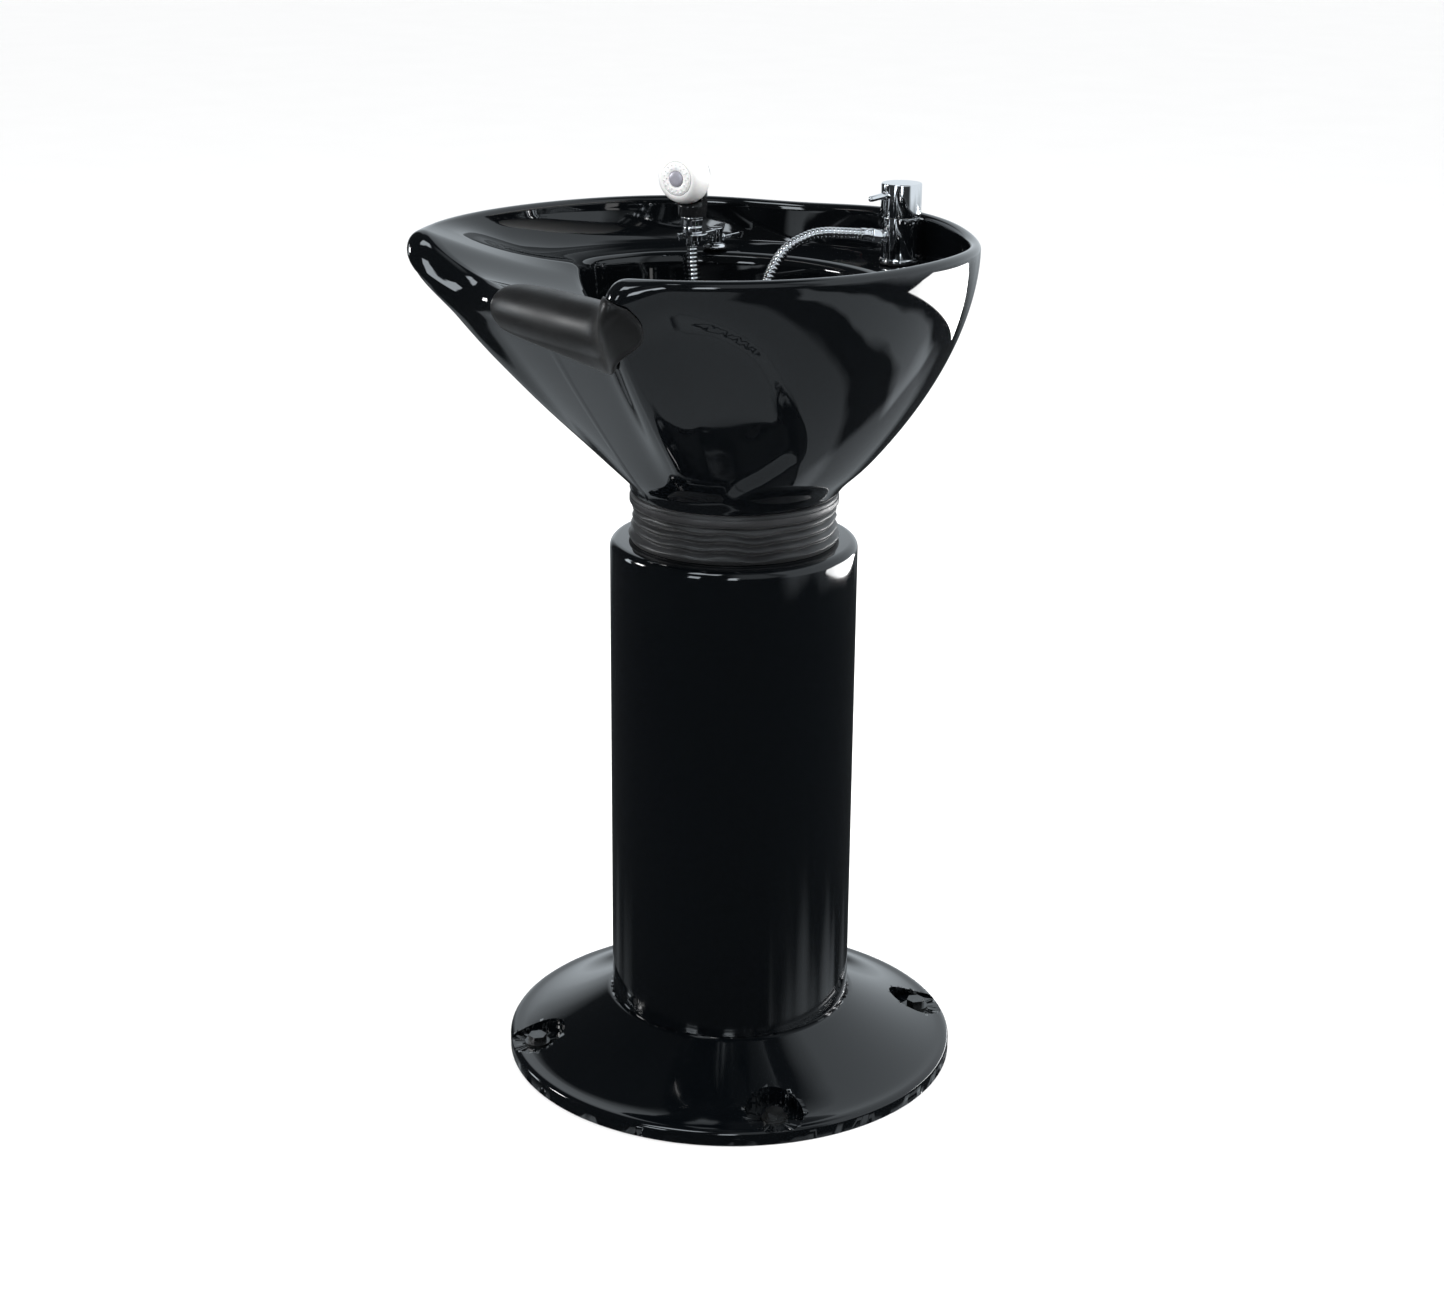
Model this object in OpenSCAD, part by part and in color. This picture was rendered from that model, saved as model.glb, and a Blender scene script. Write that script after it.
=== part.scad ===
/* [Foot and column] */
// Radius of the round foot
foot_r = 250; // [245:1:260]
// Height of the foot where the column leaves it
foot_h = 68; // [64:1:72]
// Height of the foot's upright rim
foot_rim_h = 18; // [16:1:20]
// Radius of the circle of floor bolts
bolt_circle_r = 222; // [218:1:226]
// Angle of the first floor bolt, from the side of the bowl
bolt_angle = -22.5; // [-45:0.5:45]
// Outer radius of the column
column_r = 133; // [130:1:136]
// Height of the column's flat top
column_top = 597; // [590:1:604]

/* [Bowl] */
// Height of the rim
rim_z = 925; // [915:1:935]
// Half of the bowl's width
bowl_half_w = 271; // [266:1:274]
// Distance from the bowl's middle to the back of its rim
bowl_back = 283; // [280:1:286]
// Distance from the bowl's middle to its front horns, along the bowl
bowl_front = 280; // [276:1:284]
// How far the bowl's middle stands in front of the column's axis
bowl_ahead = 44; // [40:1:46]
// Depth of the neck notch below the rim
notch_drop = 49; // [44:1:54]
// Radius of the bowl's neck, where the bellows starts
neck_r = 111; // [108:1:113]
// Height of the bowl's neck
neck_z = 650; // [646:1:654]
// Height of the ledge that carries the taps
ledge_z = 872; // [870:1:874]
// Height of the bottom of the well
well_floor_z = 704; // [702:1:706]

/* [Tilt] */
// Height of the tilt axis
pivot_z = 622; // [618:1:626]
// Radius of the pivot bolts
pivot_r = 6; // [5:0.5:7]

/* [Taps] */
// Distance of the mixer behind the column's axis
mixer_y = 205; // [203:1:206]
// Distance of the mixer from the bowl's centre line
mixer_x = 14; // [0:1:15]
// Radius of the mixer's body
mixer_r = 20.2; // [19:0.1:20.4]
// Height of the seam under the mixer's cap
mixer_seam_z = 925; // [920:1:930]
// Height of the top of the mixer's cap
mixer_top_z = 960; // [955:1:966]
// Outer radius of the shower hose
hose_r = 6; // [5:0.5:6.5]
// Radius of the round spray head
spray_r = 29; // [27:0.5:31]

/* [Hidden] */
holder_pos = [-172, 92];
handset_pos = [-155, 50];
$fn = 96;

gloss_black = "#15161a";
satin_black = "#26272a";
steel = "#9a9da1";
chrome = "#d8dbe0";
white = "#f4f4f2";
brass_tint = "#c2a35a";

// ---- plan and section of the bowl; an angle of 0 looks to the front, -Y ----
function mix(a, b, f) = a + (b - a) * f;
function unit_share(v) = min(1, max(0, v));
function smooth(v) = let (c = unit_share(v)) c * c * (3 - 2 * c);
function lobe(a, n) = sign(a) * pow(abs(a), 2 / n);
function plan(ahead, side, z) = [side, -ahead, z];
function flat(p) = [p[0], p[1], 0];
function lift(p, z) = [p[0], p[1], z];

// Share of the neck notch at a distance from the middle of the front
function notch(side) = 1 - smooth(pow(unit_share((abs(side) - 75) / 100), 1.5));

// The crest of the rim
function crest(a) =
  let (
    side = bowl_half_w * sin(a),
    n = cos(a) > 0 ? notch(side) : 0,
    reach = cos(a) > 0 ? bowl_front - 26 * sin(a) : bowl_back,
    ahead = bowl_ahead + reach * cos(a) - 102 * n * (1 - 0.2 * pow(side / 100, 2))
  )
  plan(ahead, side, rim_z - notch_drop * n - 5 * exp(-pow((acos(cos(a)) - 146) / 20, 2)));

// Outward direction at the crest, and half of the rim's thickness
function outward(a) = let (v = [sin(a) / bowl_half_w, -cos(a) / bowl_front, 0]) v / norm(v);
function front_share(a) = smooth((cos(a) - 0.3) / 0.5);
function roll_r(a) = 6.5 + 11.5 * smooth((cos(a) - 0.66) / 0.16);
function roll(a, turn) =
  crest(a) + roll_r(a) * (outward(a) * cos(turn) + [0, 0, sin(turn) - 1]);
function roll_start(a) = -46 * smooth(cos(a) / 0.7);
function roll_end(a) = mix(178, 116, front_share(a));

// The outer skin, from the neck at 0 to the rim's roll at 1
function skin(a, t, inset = 0) =
  let (
    top = roll(a, roll_start(a)),
    low = plan(neck_r * cos(a), neck_r * sin(a), neck_z),
    power = mix(1.85, 1.1, smooth((cos(a) + 0.45) / 1.1)),
    flare = 1 - 0.42 * exp(-pow(t / 0.07, 2)),
    reach = (1 - pow(1 - t, power)) * flare,
    p = flat(low) + flat(top - low) * reach - outward(a) * inset
  )
  lift(p, mix(neck_z, top[2], t));

// The edge of the well, and the foot of the wall behind the ledge
function well_dip(side) = 45 * max(0, 1 - pow(side / 165, 2));
function well_edge(a) =
  cos(a) > 0
  ? let (side = 200 * lobe(sin(a), 3))
    plan(11 + 100 * lobe(cos(a), 3), side, ledge_z - well_dip(side) * smooth(cos(a) / 0.4))
  : plan(11 + 163 * cos(a), 200 * sin(a), ledge_z);
function wall_foot(a) =
  let (
    ledge = plan(bowl_ahead + (bowl_back - 9) * lobe(cos(a), 2.2),
                 (bowl_half_w - 29) * lobe(sin(a), 2.2), ledge_z + 2),
    slope = well_edge(a) + outward(a) * 10 + [0, 0, 3]
  )
  mix(ledge, slope, smooth((cos(a) + 0.15) / 0.75));
function inner_wall(a, t) =
  let (
    from = roll(a, roll_end(a)),
    to = wall_foot(a),
    w = front_share(a),
    across = mix(1 - cos(90 * t), t, w),
    down = mix(sin(90 * t), mix(t, sin(90 * t), 0.35), w)
  )
  lift(flat(from) + flat(to - from) * across, mix(from[2], to[2], down));

// The well, from its edge at 0 to the waste hole at 90
waste_core_r = 20;
function well(a, turn, gap = 0, drop = 0) =
  let (
    edge = well_edge(a) - [0, 0, 8],
    hole = plan(waste_core_r * cos(a), waste_core_r * sin(a), well_floor_z),
    power = 2 / 2.4
  )
  lift(flat(hole) + flat(edge - hole) * pow(cos(turn), power) + outward(a) * gap,
       edge[2] + (hole[2] - edge[2]) * pow(sin(turn), power) - drop);

// One closed section of the double-walled bowl
wall = 11;
function bowl_section(a) =
  let (
    edge = well_edge(a),
    out = outward(a),
    under = mix(0.785, 0.87, front_share(a))
  )
  concat(
    [plan((neck_r - 4) * cos(a), (neck_r - 4) * sin(a), neck_z - 13.2)],
    [plan((neck_r - 4) * cos(a), (neck_r - 4) * sin(a), neck_z)],
    [for (t = [0, 0.05, 0.1, 0.17, 0.27, 0.38, 0.5, 0.63, 0.76, 0.88]) skin(a, t)],
    [for (i = [0:7]) roll(a, mix(roll_start(a), roll_end(a), i / 7))],
    [for (t = [0.25, 0.5, 0.75, 1]) inner_wall(a, t)],
    [edge + out * 7, edge + out * 2 + [0, 0, -2]],
    [for (turn = [0, 12, 24, 36, 48, 60, 72, 82, 90]) well(a, turn)],
    [plan(waste_core_r * cos(a), waste_core_r * sin(a), well_floor_z - 22)],
    [plan(80 * cos(a), 80 * sin(a), well_floor_z - 22)],
    [for (turn = [58, 42, 26, 12]) well(a, turn, wall, 3)],
    [edge + out * wall + [0, 0, -26]],
    [for (t = [under, 0.63, 0.45, 0.3, 0.16, 0.07]) skin(a, t, wall)],
    [plan((neck_r - wall - 3) * cos(a), (neck_r - wall - 3) * sin(a), neck_z)],
    [plan((neck_r - wall - 3) * cos(a), (neck_r - wall - 3) * sin(a), neck_z - 13.2)]
  );

// Fine steps round the horns and the notch, wider ones behind them
bowl_angles = concat([for (i = [-15:14]) 3 * i], [for (i = [0:47]) 45 + 270 * i / 48]);

// A closed solid from rings of points; looped joins the last ring to the first
module ring_solid(rings, looped = false) {
  n = len(rings[0]);
  m = len(rings);
  sides = [
    for (j = [0:m - (looped ? 1 : 2)], i = [0:n - 1], half = [0, 1])
      let (a = j * n + i, b = j * n + (i + 1) % n, c = (j + 1) % m * n)
      half == 0 ? [a, b, c + (i + 1) % n] : [a, c + (i + 1) % n, c + i]
  ];
  ends = looped ? [] : [[for (i = [n - 1:-1:0]) i], [for (i = [0:n - 1]) (m - 1) * n + i]];
  polyhedron(points = [for (r = rings) each r], faces = concat(sides, ends), convexity = 12);
}

// ---- sweeps along a route ----
function unit(v) = v / norm(v);
function headings(p) =
  [for (i = [0:len(p) - 1]) unit(p[min(i + 1, len(p) - 1)] - p[max(i - 1, 0)])];
function carried(t, start) =
  [for (i = 0, n = start; i < len(t);
        i = i + 1, n = i < len(t) ? unit(n - (n * t[i]) * t[i]) : n) n];
module tube(route, r, sides, start = [1, 0, 0]) {
  t = headings(route);
  n = carried(t, unit(start - (start * t[0]) * t[0]));
  ring_solid([
    for (i = [0:len(route) - 1])
      [for (k = [0:sides - 1])
        route[i] + r * (n[i] * cos(360 * k / sides) + cross(t[i], n[i]) * sin(360 * k / sides))]
  ]);
}
module ring(r_out, r_in, z_low, z_high) {
  rotate_extrude() translate([r_in, z_low]) square([r_out - r_in, z_high - z_low]);
}
module hex(across, z_low, z_high) {
  translate([0, 0, z_low]) cylinder(r = across / sqrt(3), h = z_high - z_low, $fn = 6);
}
module at_anchors() {
  for (k = [0:3]) rotate([0, 0, bolt_angle + 90 * k]) translate([bolt_circle_r, 0, 0]) children();
}
module both_sides() {
  for (turn = [0, 180]) rotate([0, 0, turn]) children();
}
module along_x(x_low, x_high, y, z, r) {
  translate([x_low, y, z]) rotate([0, 90, 0]) cylinder(r = r, h = x_high - x_low);
}

// ---- foot ----
plate_t = 6;
anchor_hole_r = 7;
service_r = 34;
supply_x = 24;
supply_y = 74;
module floor_plate() {
  color(steel) difference() {
    cylinder(r = foot_r - 12, h = plate_t);
    translate([0, 0, -1]) cylinder(r = service_r, h = plate_t + 2);
    for (side = [-1, 1]) translate([side * supply_x, supply_y, -1]) cylinder(r = 20, h = plate_t + 2);
    at_anchors() translate([0, 0, -1]) cylinder(r = anchor_hole_r, h = plate_t + 2);
  }
}

pocket_r = 31;
pocket_floor_z = 15;
foot_seat = 6.2;
collar_r = column_r + 0.4;
// The domed top from the rim at 0 to the column at 1
function foot_top(t, drop = 0) =
  [mix(foot_r - 12, column_r + 3, t), mix(foot_rim_h, foot_h - 1, pow(t, 1.25)) - drop];
module foot_outline() {
  polygon(concat(
    [[collar_r, foot_seat], [foot_r - 6, foot_seat], [foot_r - 6, 0], [foot_r, 0]],
    [for (a = [0:20:80]) [foot_r - 8 + 8 * cos(a), foot_rim_h - 5 + 5 * sin(a)]],
    [for (i = [0:12]) foot_top(i / 12)],
    [[collar_r, foot_h - 1]]
  ));
}
module foot_hollow() {
  polygon(concat(
    [[column_r + 6, -1], [foot_r - 22, -1]],
    [for (i = [0:10]) foot_top(mix(0.1, 0.94, i / 10), 5)],
    [[column_r + 6, foot_top(0.94, 5)[1]]]
  ));
}
module foot_cover() {
  color(gloss_black) difference() {
    rotate_extrude($fn = 144) foot_outline();
    difference() {
      rotate_extrude($fn = 144) foot_hollow();
      at_anchors() translate([0, 0, -2]) cylinder(r = pocket_r + 4, h = 80);
    }
    at_anchors() {
      translate([0, 0, pocket_floor_z]) cylinder(r = pocket_r, h = 60);
      translate([0, 0, -2]) cylinder(r = anchor_hole_r, h = 40);
    }
    translate([0, 0, -1]) cylinder(r = foot_r - 6, h = 1 + foot_seat);
  }
}
// Capped nuts on the studs that stand in the floor; a stud belongs to the floor, not to the sink
module anchor_nuts() {
  color(steel) at_anchors() difference() {
    hex(18, pocket_floor_z + 2.5, pocket_floor_z + 10);
    translate([0, 0, pocket_floor_z]) cylinder(r = 6.1, h = 8);
  }
}
module anchor_washers() {
  color(steel) at_anchors() ring(14, 6.3, pocket_floor_z, pocket_floor_z + 2.5);
}

// ---- frame inside the column ----
upright_x = 80;
upright_r = 16;
head_z = 548;
head_t = 8;
module uprights() {
  color(gloss_black) both_sides() translate([upright_x, 0, 0]) difference() {
    union() {
      translate([0, 0, plate_t]) cylinder(r = upright_r, h = head_z - plate_t);
      translate([-34, -20, plate_t]) cube([60, 40, 6]);
    }
    translate([0, 0, plate_t - 1]) cylinder(r = upright_r - 2.5, h = head_z - plate_t + 2);
  }
}
module at_head_bolts() {
  both_sides() for (y = [-25, 25]) translate([100, y, 0]) children();
}
module head_plate() {
  color(gloss_black) difference() {
    intersection() {
      translate([-118, -42, head_z]) cube([236, 84, head_t]);
      cylinder(r = 122, h = 700);
    }
    translate([0, 0, head_z - 1]) cylinder(r = 36, h = head_t + 2);
    at_head_bolts() translate([0, 0, head_z - 1]) cylinder(r = 5.2, h = head_t + 2);
  }
}
ear_in = 67;
ear_t = 8;
module pivot_ears() {
  color(steel) both_sides() difference() {
    union() {
      translate([ear_in, -38, head_z + head_t]) cube([46, 76, 6]);
      translate([ear_in, -24, head_z + head_t]) cube([ear_t, 48, pivot_z - head_z - head_t]);
      along_x(ear_in, ear_in + ear_t, 0, pivot_z, 24);
    }
    along_x(ear_in - 1, ear_in + ear_t + 1, 0, pivot_z, pivot_r + 0.05);
    at_head_bolts() translate([0, 0, head_z]) cylinder(r = 5.2, h = 30);
  }
}
module head_bolts() {
  color(steel) at_head_bolts() {
    translate([0, 0, head_z - 8]) cylinder(r = 5, h = 24);
    hex(16, head_z + head_t + 6, head_z + head_t + 12);
    hex(16, head_z - 8, head_z);
  }
}

// ---- column and bellows ----
top_open_r = 104;
module column_shell() {
  color(gloss_black) rotate_extrude($fn = 144) difference() {
    union() {
      translate([column_r - 5, foot_seat]) square([5, column_top - 9 - foot_seat]);
      translate([top_open_r, column_top - 5]) square([column_r - 9 - top_open_r, 5]);
      translate([column_r - 9, column_top - 9]) intersection() {
        difference() {
          circle(r = 9);
          circle(r = 4);
        }
        square(9);
      }
    }
  }
}
bellows_low_z = column_top - 8;
cuff_z = neck_z - 14;
folds = 4;
function fold_r(t) =
  neck_r - 6.5 + 4.5 * pow(1 - t, 3) + 4.8 * pow(abs(sin(180 * folds * t)), 0.8);
module bellows() {
  steps = 48;
  low = column_top + 1.2;
  outer = [for (i = [0:steps]) let (t = i / steps) [fold_r(t) + 0.6, mix(low, cuff_z, t)]];
  inner = [for (i = [steps:-1:0]) let (t = i / steps) [fold_r(t) - 1.8, mix(low, cuff_z, t)]];
  color(satin_black) rotate_extrude() union() {
    polygon(concat(outer, inner));
    translate([neck_r - 3.7, cuff_z - 1.2]) square([3.7, 14.9]);
    translate([top_open_r - 3, bellows_low_z]) square([2.7, 10.2]);
    translate([top_open_r - 3, column_top + 0.3]) square([10, 2]);
  }
}
module bellows_lower_ring() {
  color(steel) ring(top_open_r - 3.1, top_open_r - 5, bellows_low_z, column_top - 1);
}
module bellows_clamp() {
  color(satin_black) {
    ring(neck_r + 0.9, neck_r + 0.05, cuff_z + 3, cuff_z + 9);
    rotate([0, 0, 90]) translate([neck_r, -6, cuff_z + 2.5]) cube([3, 12, 7]);
  }
}

// ---- tilting cradle under the bowl ----
lug_in = 58.8;
lug_t = 8;
floor_under_z = well_floor_z - 22;
pad_t = 3;
cradle_t = 6;
cradle_top = floor_under_z - pad_t;
module at_cradle_bolts() {
  for (a = [45:90:315]) rotate([0, 0, a]) translate([56, 0, 0]) children();
}
module cradle() {
  color(gloss_black) difference() {
    union() {
      translate([0, 0, cradle_top - cradle_t]) cylinder(r = 72, h = cradle_t);
      both_sides() {
        translate([lug_in, -20, pivot_z]) cube([lug_t, 40, cradle_top - pivot_z - 1]);
        along_x(lug_in, lug_in + lug_t, 0, pivot_z, 20);
      }
    }
    translate([0, 0, cradle_top - 20]) cylinder(r = 40, h = 40);
    along_x(-90, 90, 0, pivot_z, pivot_r + 0.2);
    at_cradle_bolts() translate([0, 0, cradle_top - 20]) cylinder(r = 4.3, h = 40);
  }
}
module cradle_pads() {
  color(satin_black) at_cradle_bolts() ring(10, 4.3, cradle_top, floor_under_z);
}
module cradle_bolts() {
  color(steel) at_cradle_bolts() {
    translate([0, 0, cradle_top - cradle_t - 2]) cylinder(r = 4, h = 27);
    hex(13, cradle_top - cradle_t - 6, cradle_top - cradle_t);
  }
}
module pivot_bolts() {
  color(steel) both_sides() {
    along_x(lug_in - 2, 92, 0, pivot_z, pivot_r);
    translate([lug_in - 9, 0, pivot_z]) rotate([0, 90, 0]) cylinder(r = 11, h = 8, $fn = 6);
  }
}
module friction_washers() {
  color(brass_tint) both_sides() translate([ear_in + ear_t, 0, pivot_z]) rotate([0, 90, 0])
    ring(15, pivot_r, 0.2, 3);
}
module pivot_nuts() {
  color(steel) both_sides() translate([ear_in + ear_t + 3, 0, pivot_z]) rotate([0, 90, 0])
    difference() {
      cylinder(r = 11, h = 10, $fn = 6);
      translate([0, 0, -1]) cylinder(r = pivot_r, h = 12);
    }
}

// ---- bowl ----
module bowl_shell() {
  color(gloss_black) difference() {
    ring_solid([for (a = bowl_angles) bowl_section(a)], true);
    translate([mixer_x, mixer_y, ledge_z - 60]) cylinder(r = 17.5, h = 100);
    translate([holder_pos[0], holder_pos[1], ledge_z - 60]) cylinder(r = 5, h = 100);
    translate([holder_pos[0], holder_pos[1], 786]) cylinder(r = 9.4, h = ledge_z - 21 - 786);
    translate([0, 0, well_floor_z - 40]) cylinder(r = 27, h = 60);
    at_cradle_bolts() translate([0, 0, well_floor_z - 40]) cylinder(r = 4.2, h = 35);
  }
}

// The pad over the neck notch; u runs from its far end to its near end, v over the lip
pad_steps = 12;
pad_far = -15;
function pad_row(u, v) = 0.5 + (v - 0.5) * pow(1 - pow(abs(u), u < 0 ? 6 : 7), 0.25);
function pad_near(v) = 43 - 21 * pow(1 - v, 2.6);
function pad_skin_t(u) = mix(0.98, 0.79, pow((u + 1) / 2, 1.3));
function pad_point(u, v, off) =
  let (
    a = mix(pad_far, pad_near(v), (u + 1) / 2),
    turn = v < 0.55 ? mix(130, roll_start(a), v / 0.55) : roll_start(a),
    base = v < 0.55 ? roll(a, turn) : skin(a, mix(1, pad_skin_t(u), (v - 0.55) / 0.45)),
    normal = outward(a) * cos(turn) + [0, 0, sin(turn)]
  )
  base + normal * off;
function pad_section(u) =
  let (swell = mix(8, 10.5, (u + 1) / 2) * pow(max(0, 1 - pow(abs(u), u < 0 ? 5 : 3.4)), 0.5))
  concat(
    [for (i = [0:pad_steps])
      let (v = i / pad_steps)
      pad_point(u, pad_row(u, v), 2.4 + swell * pow(max(0, 1 - pow(abs(2 * v - 1), 5)), 0.5))],
    [for (i = [pad_steps:-1:0]) pad_point(u, pad_row(u, i / pad_steps), 1.4)]
  );
module neck_rest() {
  color(satin_black) ring_solid([for (i = [-12:12]) pad_section(0.998 * sin(90 * i / 12))]);
}

// ---- waste ----
module waste_flange() {
  color(chrome) {
    rotate_extrude() polygon([
      [20, well_floor_z - 2], [24, well_floor_z - 2], [24, well_floor_z + 0.8],
      [41, well_floor_z + 2.2], [40, well_floor_z + 4], [25, well_floor_z + 3.6],
      [23, well_floor_z + 2.6], [20, well_floor_z - 0.5]
    ]);
    ring(24, 20, well_floor_z - 44, well_floor_z - 2);
  }
}
module waste_gasket() {
  color(satin_black) rotate_extrude() polygon([
    [24.2, floor_under_z - 3], [38, floor_under_z - 3], [38, floor_under_z - 0.2],
    [24.2, floor_under_z - 0.2]
  ]);
}
module strainer_basket() {
  color(chrome) difference() {
    union() {
      ring(19.6, 17.8, well_floor_z - 14, well_floor_z + 3);
      ring(23, 17.8, well_floor_z + 3.8, well_floor_z + 5.2);
      ring(19.6, 17.8, well_floor_z + 3, well_floor_z + 5.2);
      translate([0, 0, well_floor_z - 15]) cylinder(r = 19.6, h = 1.6);
      cylinder(r = 2.2, h = 1);
      translate([0, 0, well_floor_z - 14]) cylinder(r = 2.4, h = 21);
      translate([0, 0, well_floor_z + 9]) sphere(r = 4.6, $fn = 32);
    }
    translate([0, 0, -1]) cylinder(r = 3, h = 4);
    for (n = [0:1], k = [0:5 + 6 * n])
      rotate([0, 0, 360 * k / (6 + 6 * n)]) translate([8 + 6 * n, 0, well_floor_z - 20])
        cylinder(r = 1.7, h = 10, $fn = 16);
  }
}
module waste_body() {
  color(satin_black) {
    ring(34, 24.3, floor_under_z - 14, floor_under_z - 3.2);
    ring(28, 24.3, floor_under_z - 40, floor_under_z - 14);
  }
}
module waste_nut() {
  color(steel) difference() {
    translate([0, 0, floor_under_z - 48]) cylinder(r = 34, h = 7.6, $fn = 8);
    translate([0, 0, floor_under_z - 49]) cylinder(r = 24.2, h = 10);
  }
}
hose_top_z = floor_under_z - 49;
module waste_hose() {
  rings = 90;
  outer = [for (i = [0:2 * rings])
    [i % 2 == 0 ? 19.5 : 21.5, mix(hose_top_z, 72, i / (2 * rings))]];
  color(white) rotate_extrude() polygon(concat([[18, hose_top_z]], outer, [[18, 72]]));
}
module waste_socket() {
  color(satin_black) {
    ring(26, 21.8, 40, 88);
    ring(30, 18.5, 8, 40);
    ring(44, 18.5, plate_t + 0.2, 10);
  }
}
module supply_hose(side) {
  tube([
    [side * supply_x, supply_y, 62], [side * supply_x, 76, 120], [side * supply_x, 78, 240],
    [side * supply_x, 79, 360], [side * supply_x, 80, 480], [side * 23, 80, 560],
    [side * 22, 81, 610], [side * 21, 84, 640], [side * 20, 90, 661], [side * 20, 100, 679],
    [side * 20, 112, 694], [side * 19, 126, 711], [side * 18, 140, 730], [side * 17, 152, 751],
    [side * 15, 164, 775], [mixer_x + side * 11, 180, 799], [mixer_x + side * 8, 196, 816],
    [mixer_x + side * 7, mixer_y, 827], [mixer_x + side * 7, mixer_y, 831.8]
  ], 5, 8);
}
module hot_supply_hose() { color("#c9c5c0") supply_hose(-1); }
module cold_supply_hose() { color("#c9c9cc") supply_hose(1); }
module supply_unions() {
  color(chrome) for (side = [-1, 1]) translate([side * supply_x, supply_y, 0]) {
    translate([0, 0, 1]) cylinder(r = 7, h = 41.2);
    hex(19, 42.2, 61.8);
  }
}

// ---- mixer ----
seat_z = ledge_z + 2.2;
module at_mixer() { translate([mixer_x, mixer_y, 0]) children(); }
module mixer_gasket() {
  color(satin_black) at_mixer() ring(mixer_r + 0.6, 9, seat_z, seat_z + 2);
}
module mixer_base_ring() {
  color(chrome) at_mixer() rotate_extrude() polygon([
    [9, seat_z + 2], [mixer_r + 1.4, seat_z + 2], [mixer_r + 1.4, seat_z + 4.5],
    [mixer_r + 0.4, seat_z + 6], [9, seat_z + 6]
  ]);
}
outlet_dir = [-0.2, -0.97, 0.14];
outlet_z = 901;
module along_outlet() {
  d = unit(outlet_dir);
  translate([mixer_x, mixer_y, outlet_z])
    rotate([0, acos(d[2]), atan2(d[1], d[0])]) children();
}
pivot_lift_z = 915;
module mixer_body() {
  color(chrome) difference() {
    at_mixer() difference() {
      translate([0, 0, seat_z + 6]) cylinder(r = mixer_r, h = mixer_seam_z - 1 - seat_z - 6);
      translate([0, 0, seat_z + 14]) cylinder(r = 16.4, h = 60);
      translate([0, 0, seat_z]) cylinder(r = 5, h = 8);
    }
    along_outlet() cylinder(r = 5.05, h = 40);
  }
}
module mixer_shank() {
  color(brass_tint) at_mixer() difference() {
    translate([0, 0, ledge_z - 40]) cylinder(r = 8.8, h = 47.8);
    for (side = [-1, 1]) translate([side * 7, 0, ledge_z - 50]) cylinder(r = 4.4, h = 13.4);
  }
}
module mixer_clamp_plate() {
  color(steel) at_mixer() intersection() {
    ring(22, 9, ledge_z - 25, ledge_z - 22);
    translate([-30, -40, 0]) cube([60, 53, 1000]);
  }
}
module mixer_nut() {
  color(brass_tint) at_mixer() difference() {
    rotate([0, 0, 30]) hex(23, ledge_z - 33, ledge_z - 25.2);
    translate([0, 0, ledge_z - 40]) cylinder(r = 9, h = 20);
  }
}
module mixer_cartridge() {
  color(white) at_mixer() difference() {
    translate([0, 0, seat_z + 14.2]) cylinder(r = 16.1, h = 918 - seat_z - 14.2);
    translate([0, 0, pivot_lift_z]) cylinder(r = 6.6, h = 10);
    translate([0, 0, pivot_lift_z - 5.2]) cylinder(r = 5.2, h = 8);
  }
}
module cartridge_nut() {
  color(brass_tint) at_mixer() ring(16.1, 10.5, 918.2, 923);
}
module mixer_turret() {
  color(brass_tint) at_mixer() ring(10.2, 7.3, 918.4, 922.4);
}
module mixer_spindle() {
  color(steel) at_mixer() translate([0, 0, pivot_lift_z]) {
    cylinder(r = 4, h = 37);
    sphere(r = 4.8, $fn = 32);
  }
}
cap_r = mixer_r + 1.5;
module mixer_cap() {
  color(chrome) at_mixer() difference() {
    rotate_extrude() polygon(concat(
      [[0, mixer_seam_z], [cap_r - 0.6, mixer_seam_z], [cap_r, mixer_seam_z + 0.6]],
      [for (a = [0:15:90])
        [cap_r - 2.5 + 2.5 * cos(a), mixer_top_z - 2.5 + 2.5 * sin(a)]],
      [[0, mixer_top_z]]
    ));
    translate([0, 0, mixer_seam_z - 1]) cylinder(r = cap_r - 1, h = 18);
    translate([0, 0, mixer_seam_z]) cylinder(r = 4.05, h = 27.5);
    along_lever() cylinder(r = 3.55, h = 60);
    translate([0, 0, 950]) rotate([-90, 0, 0]) cylinder(r = 2.05, h = 40);
  }
}
module along_lever() {
  translate([0, -10, 949.5]) rotate([97, 0, 0]) children();
}
module mixer_lever() {
  color(chrome) at_mixer() along_lever() {
    cylinder(r = 3.5, h = 31);
    translate([0, 0, 31]) sphere(r = 3.5, $fn = 32);
  }
}
module lever_screw() {
  color(steel) at_mixer() translate([0, 6, 950]) rotate([-90, 0, 0]) cylinder(r = 2, h = cap_r - 7);
}

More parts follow.
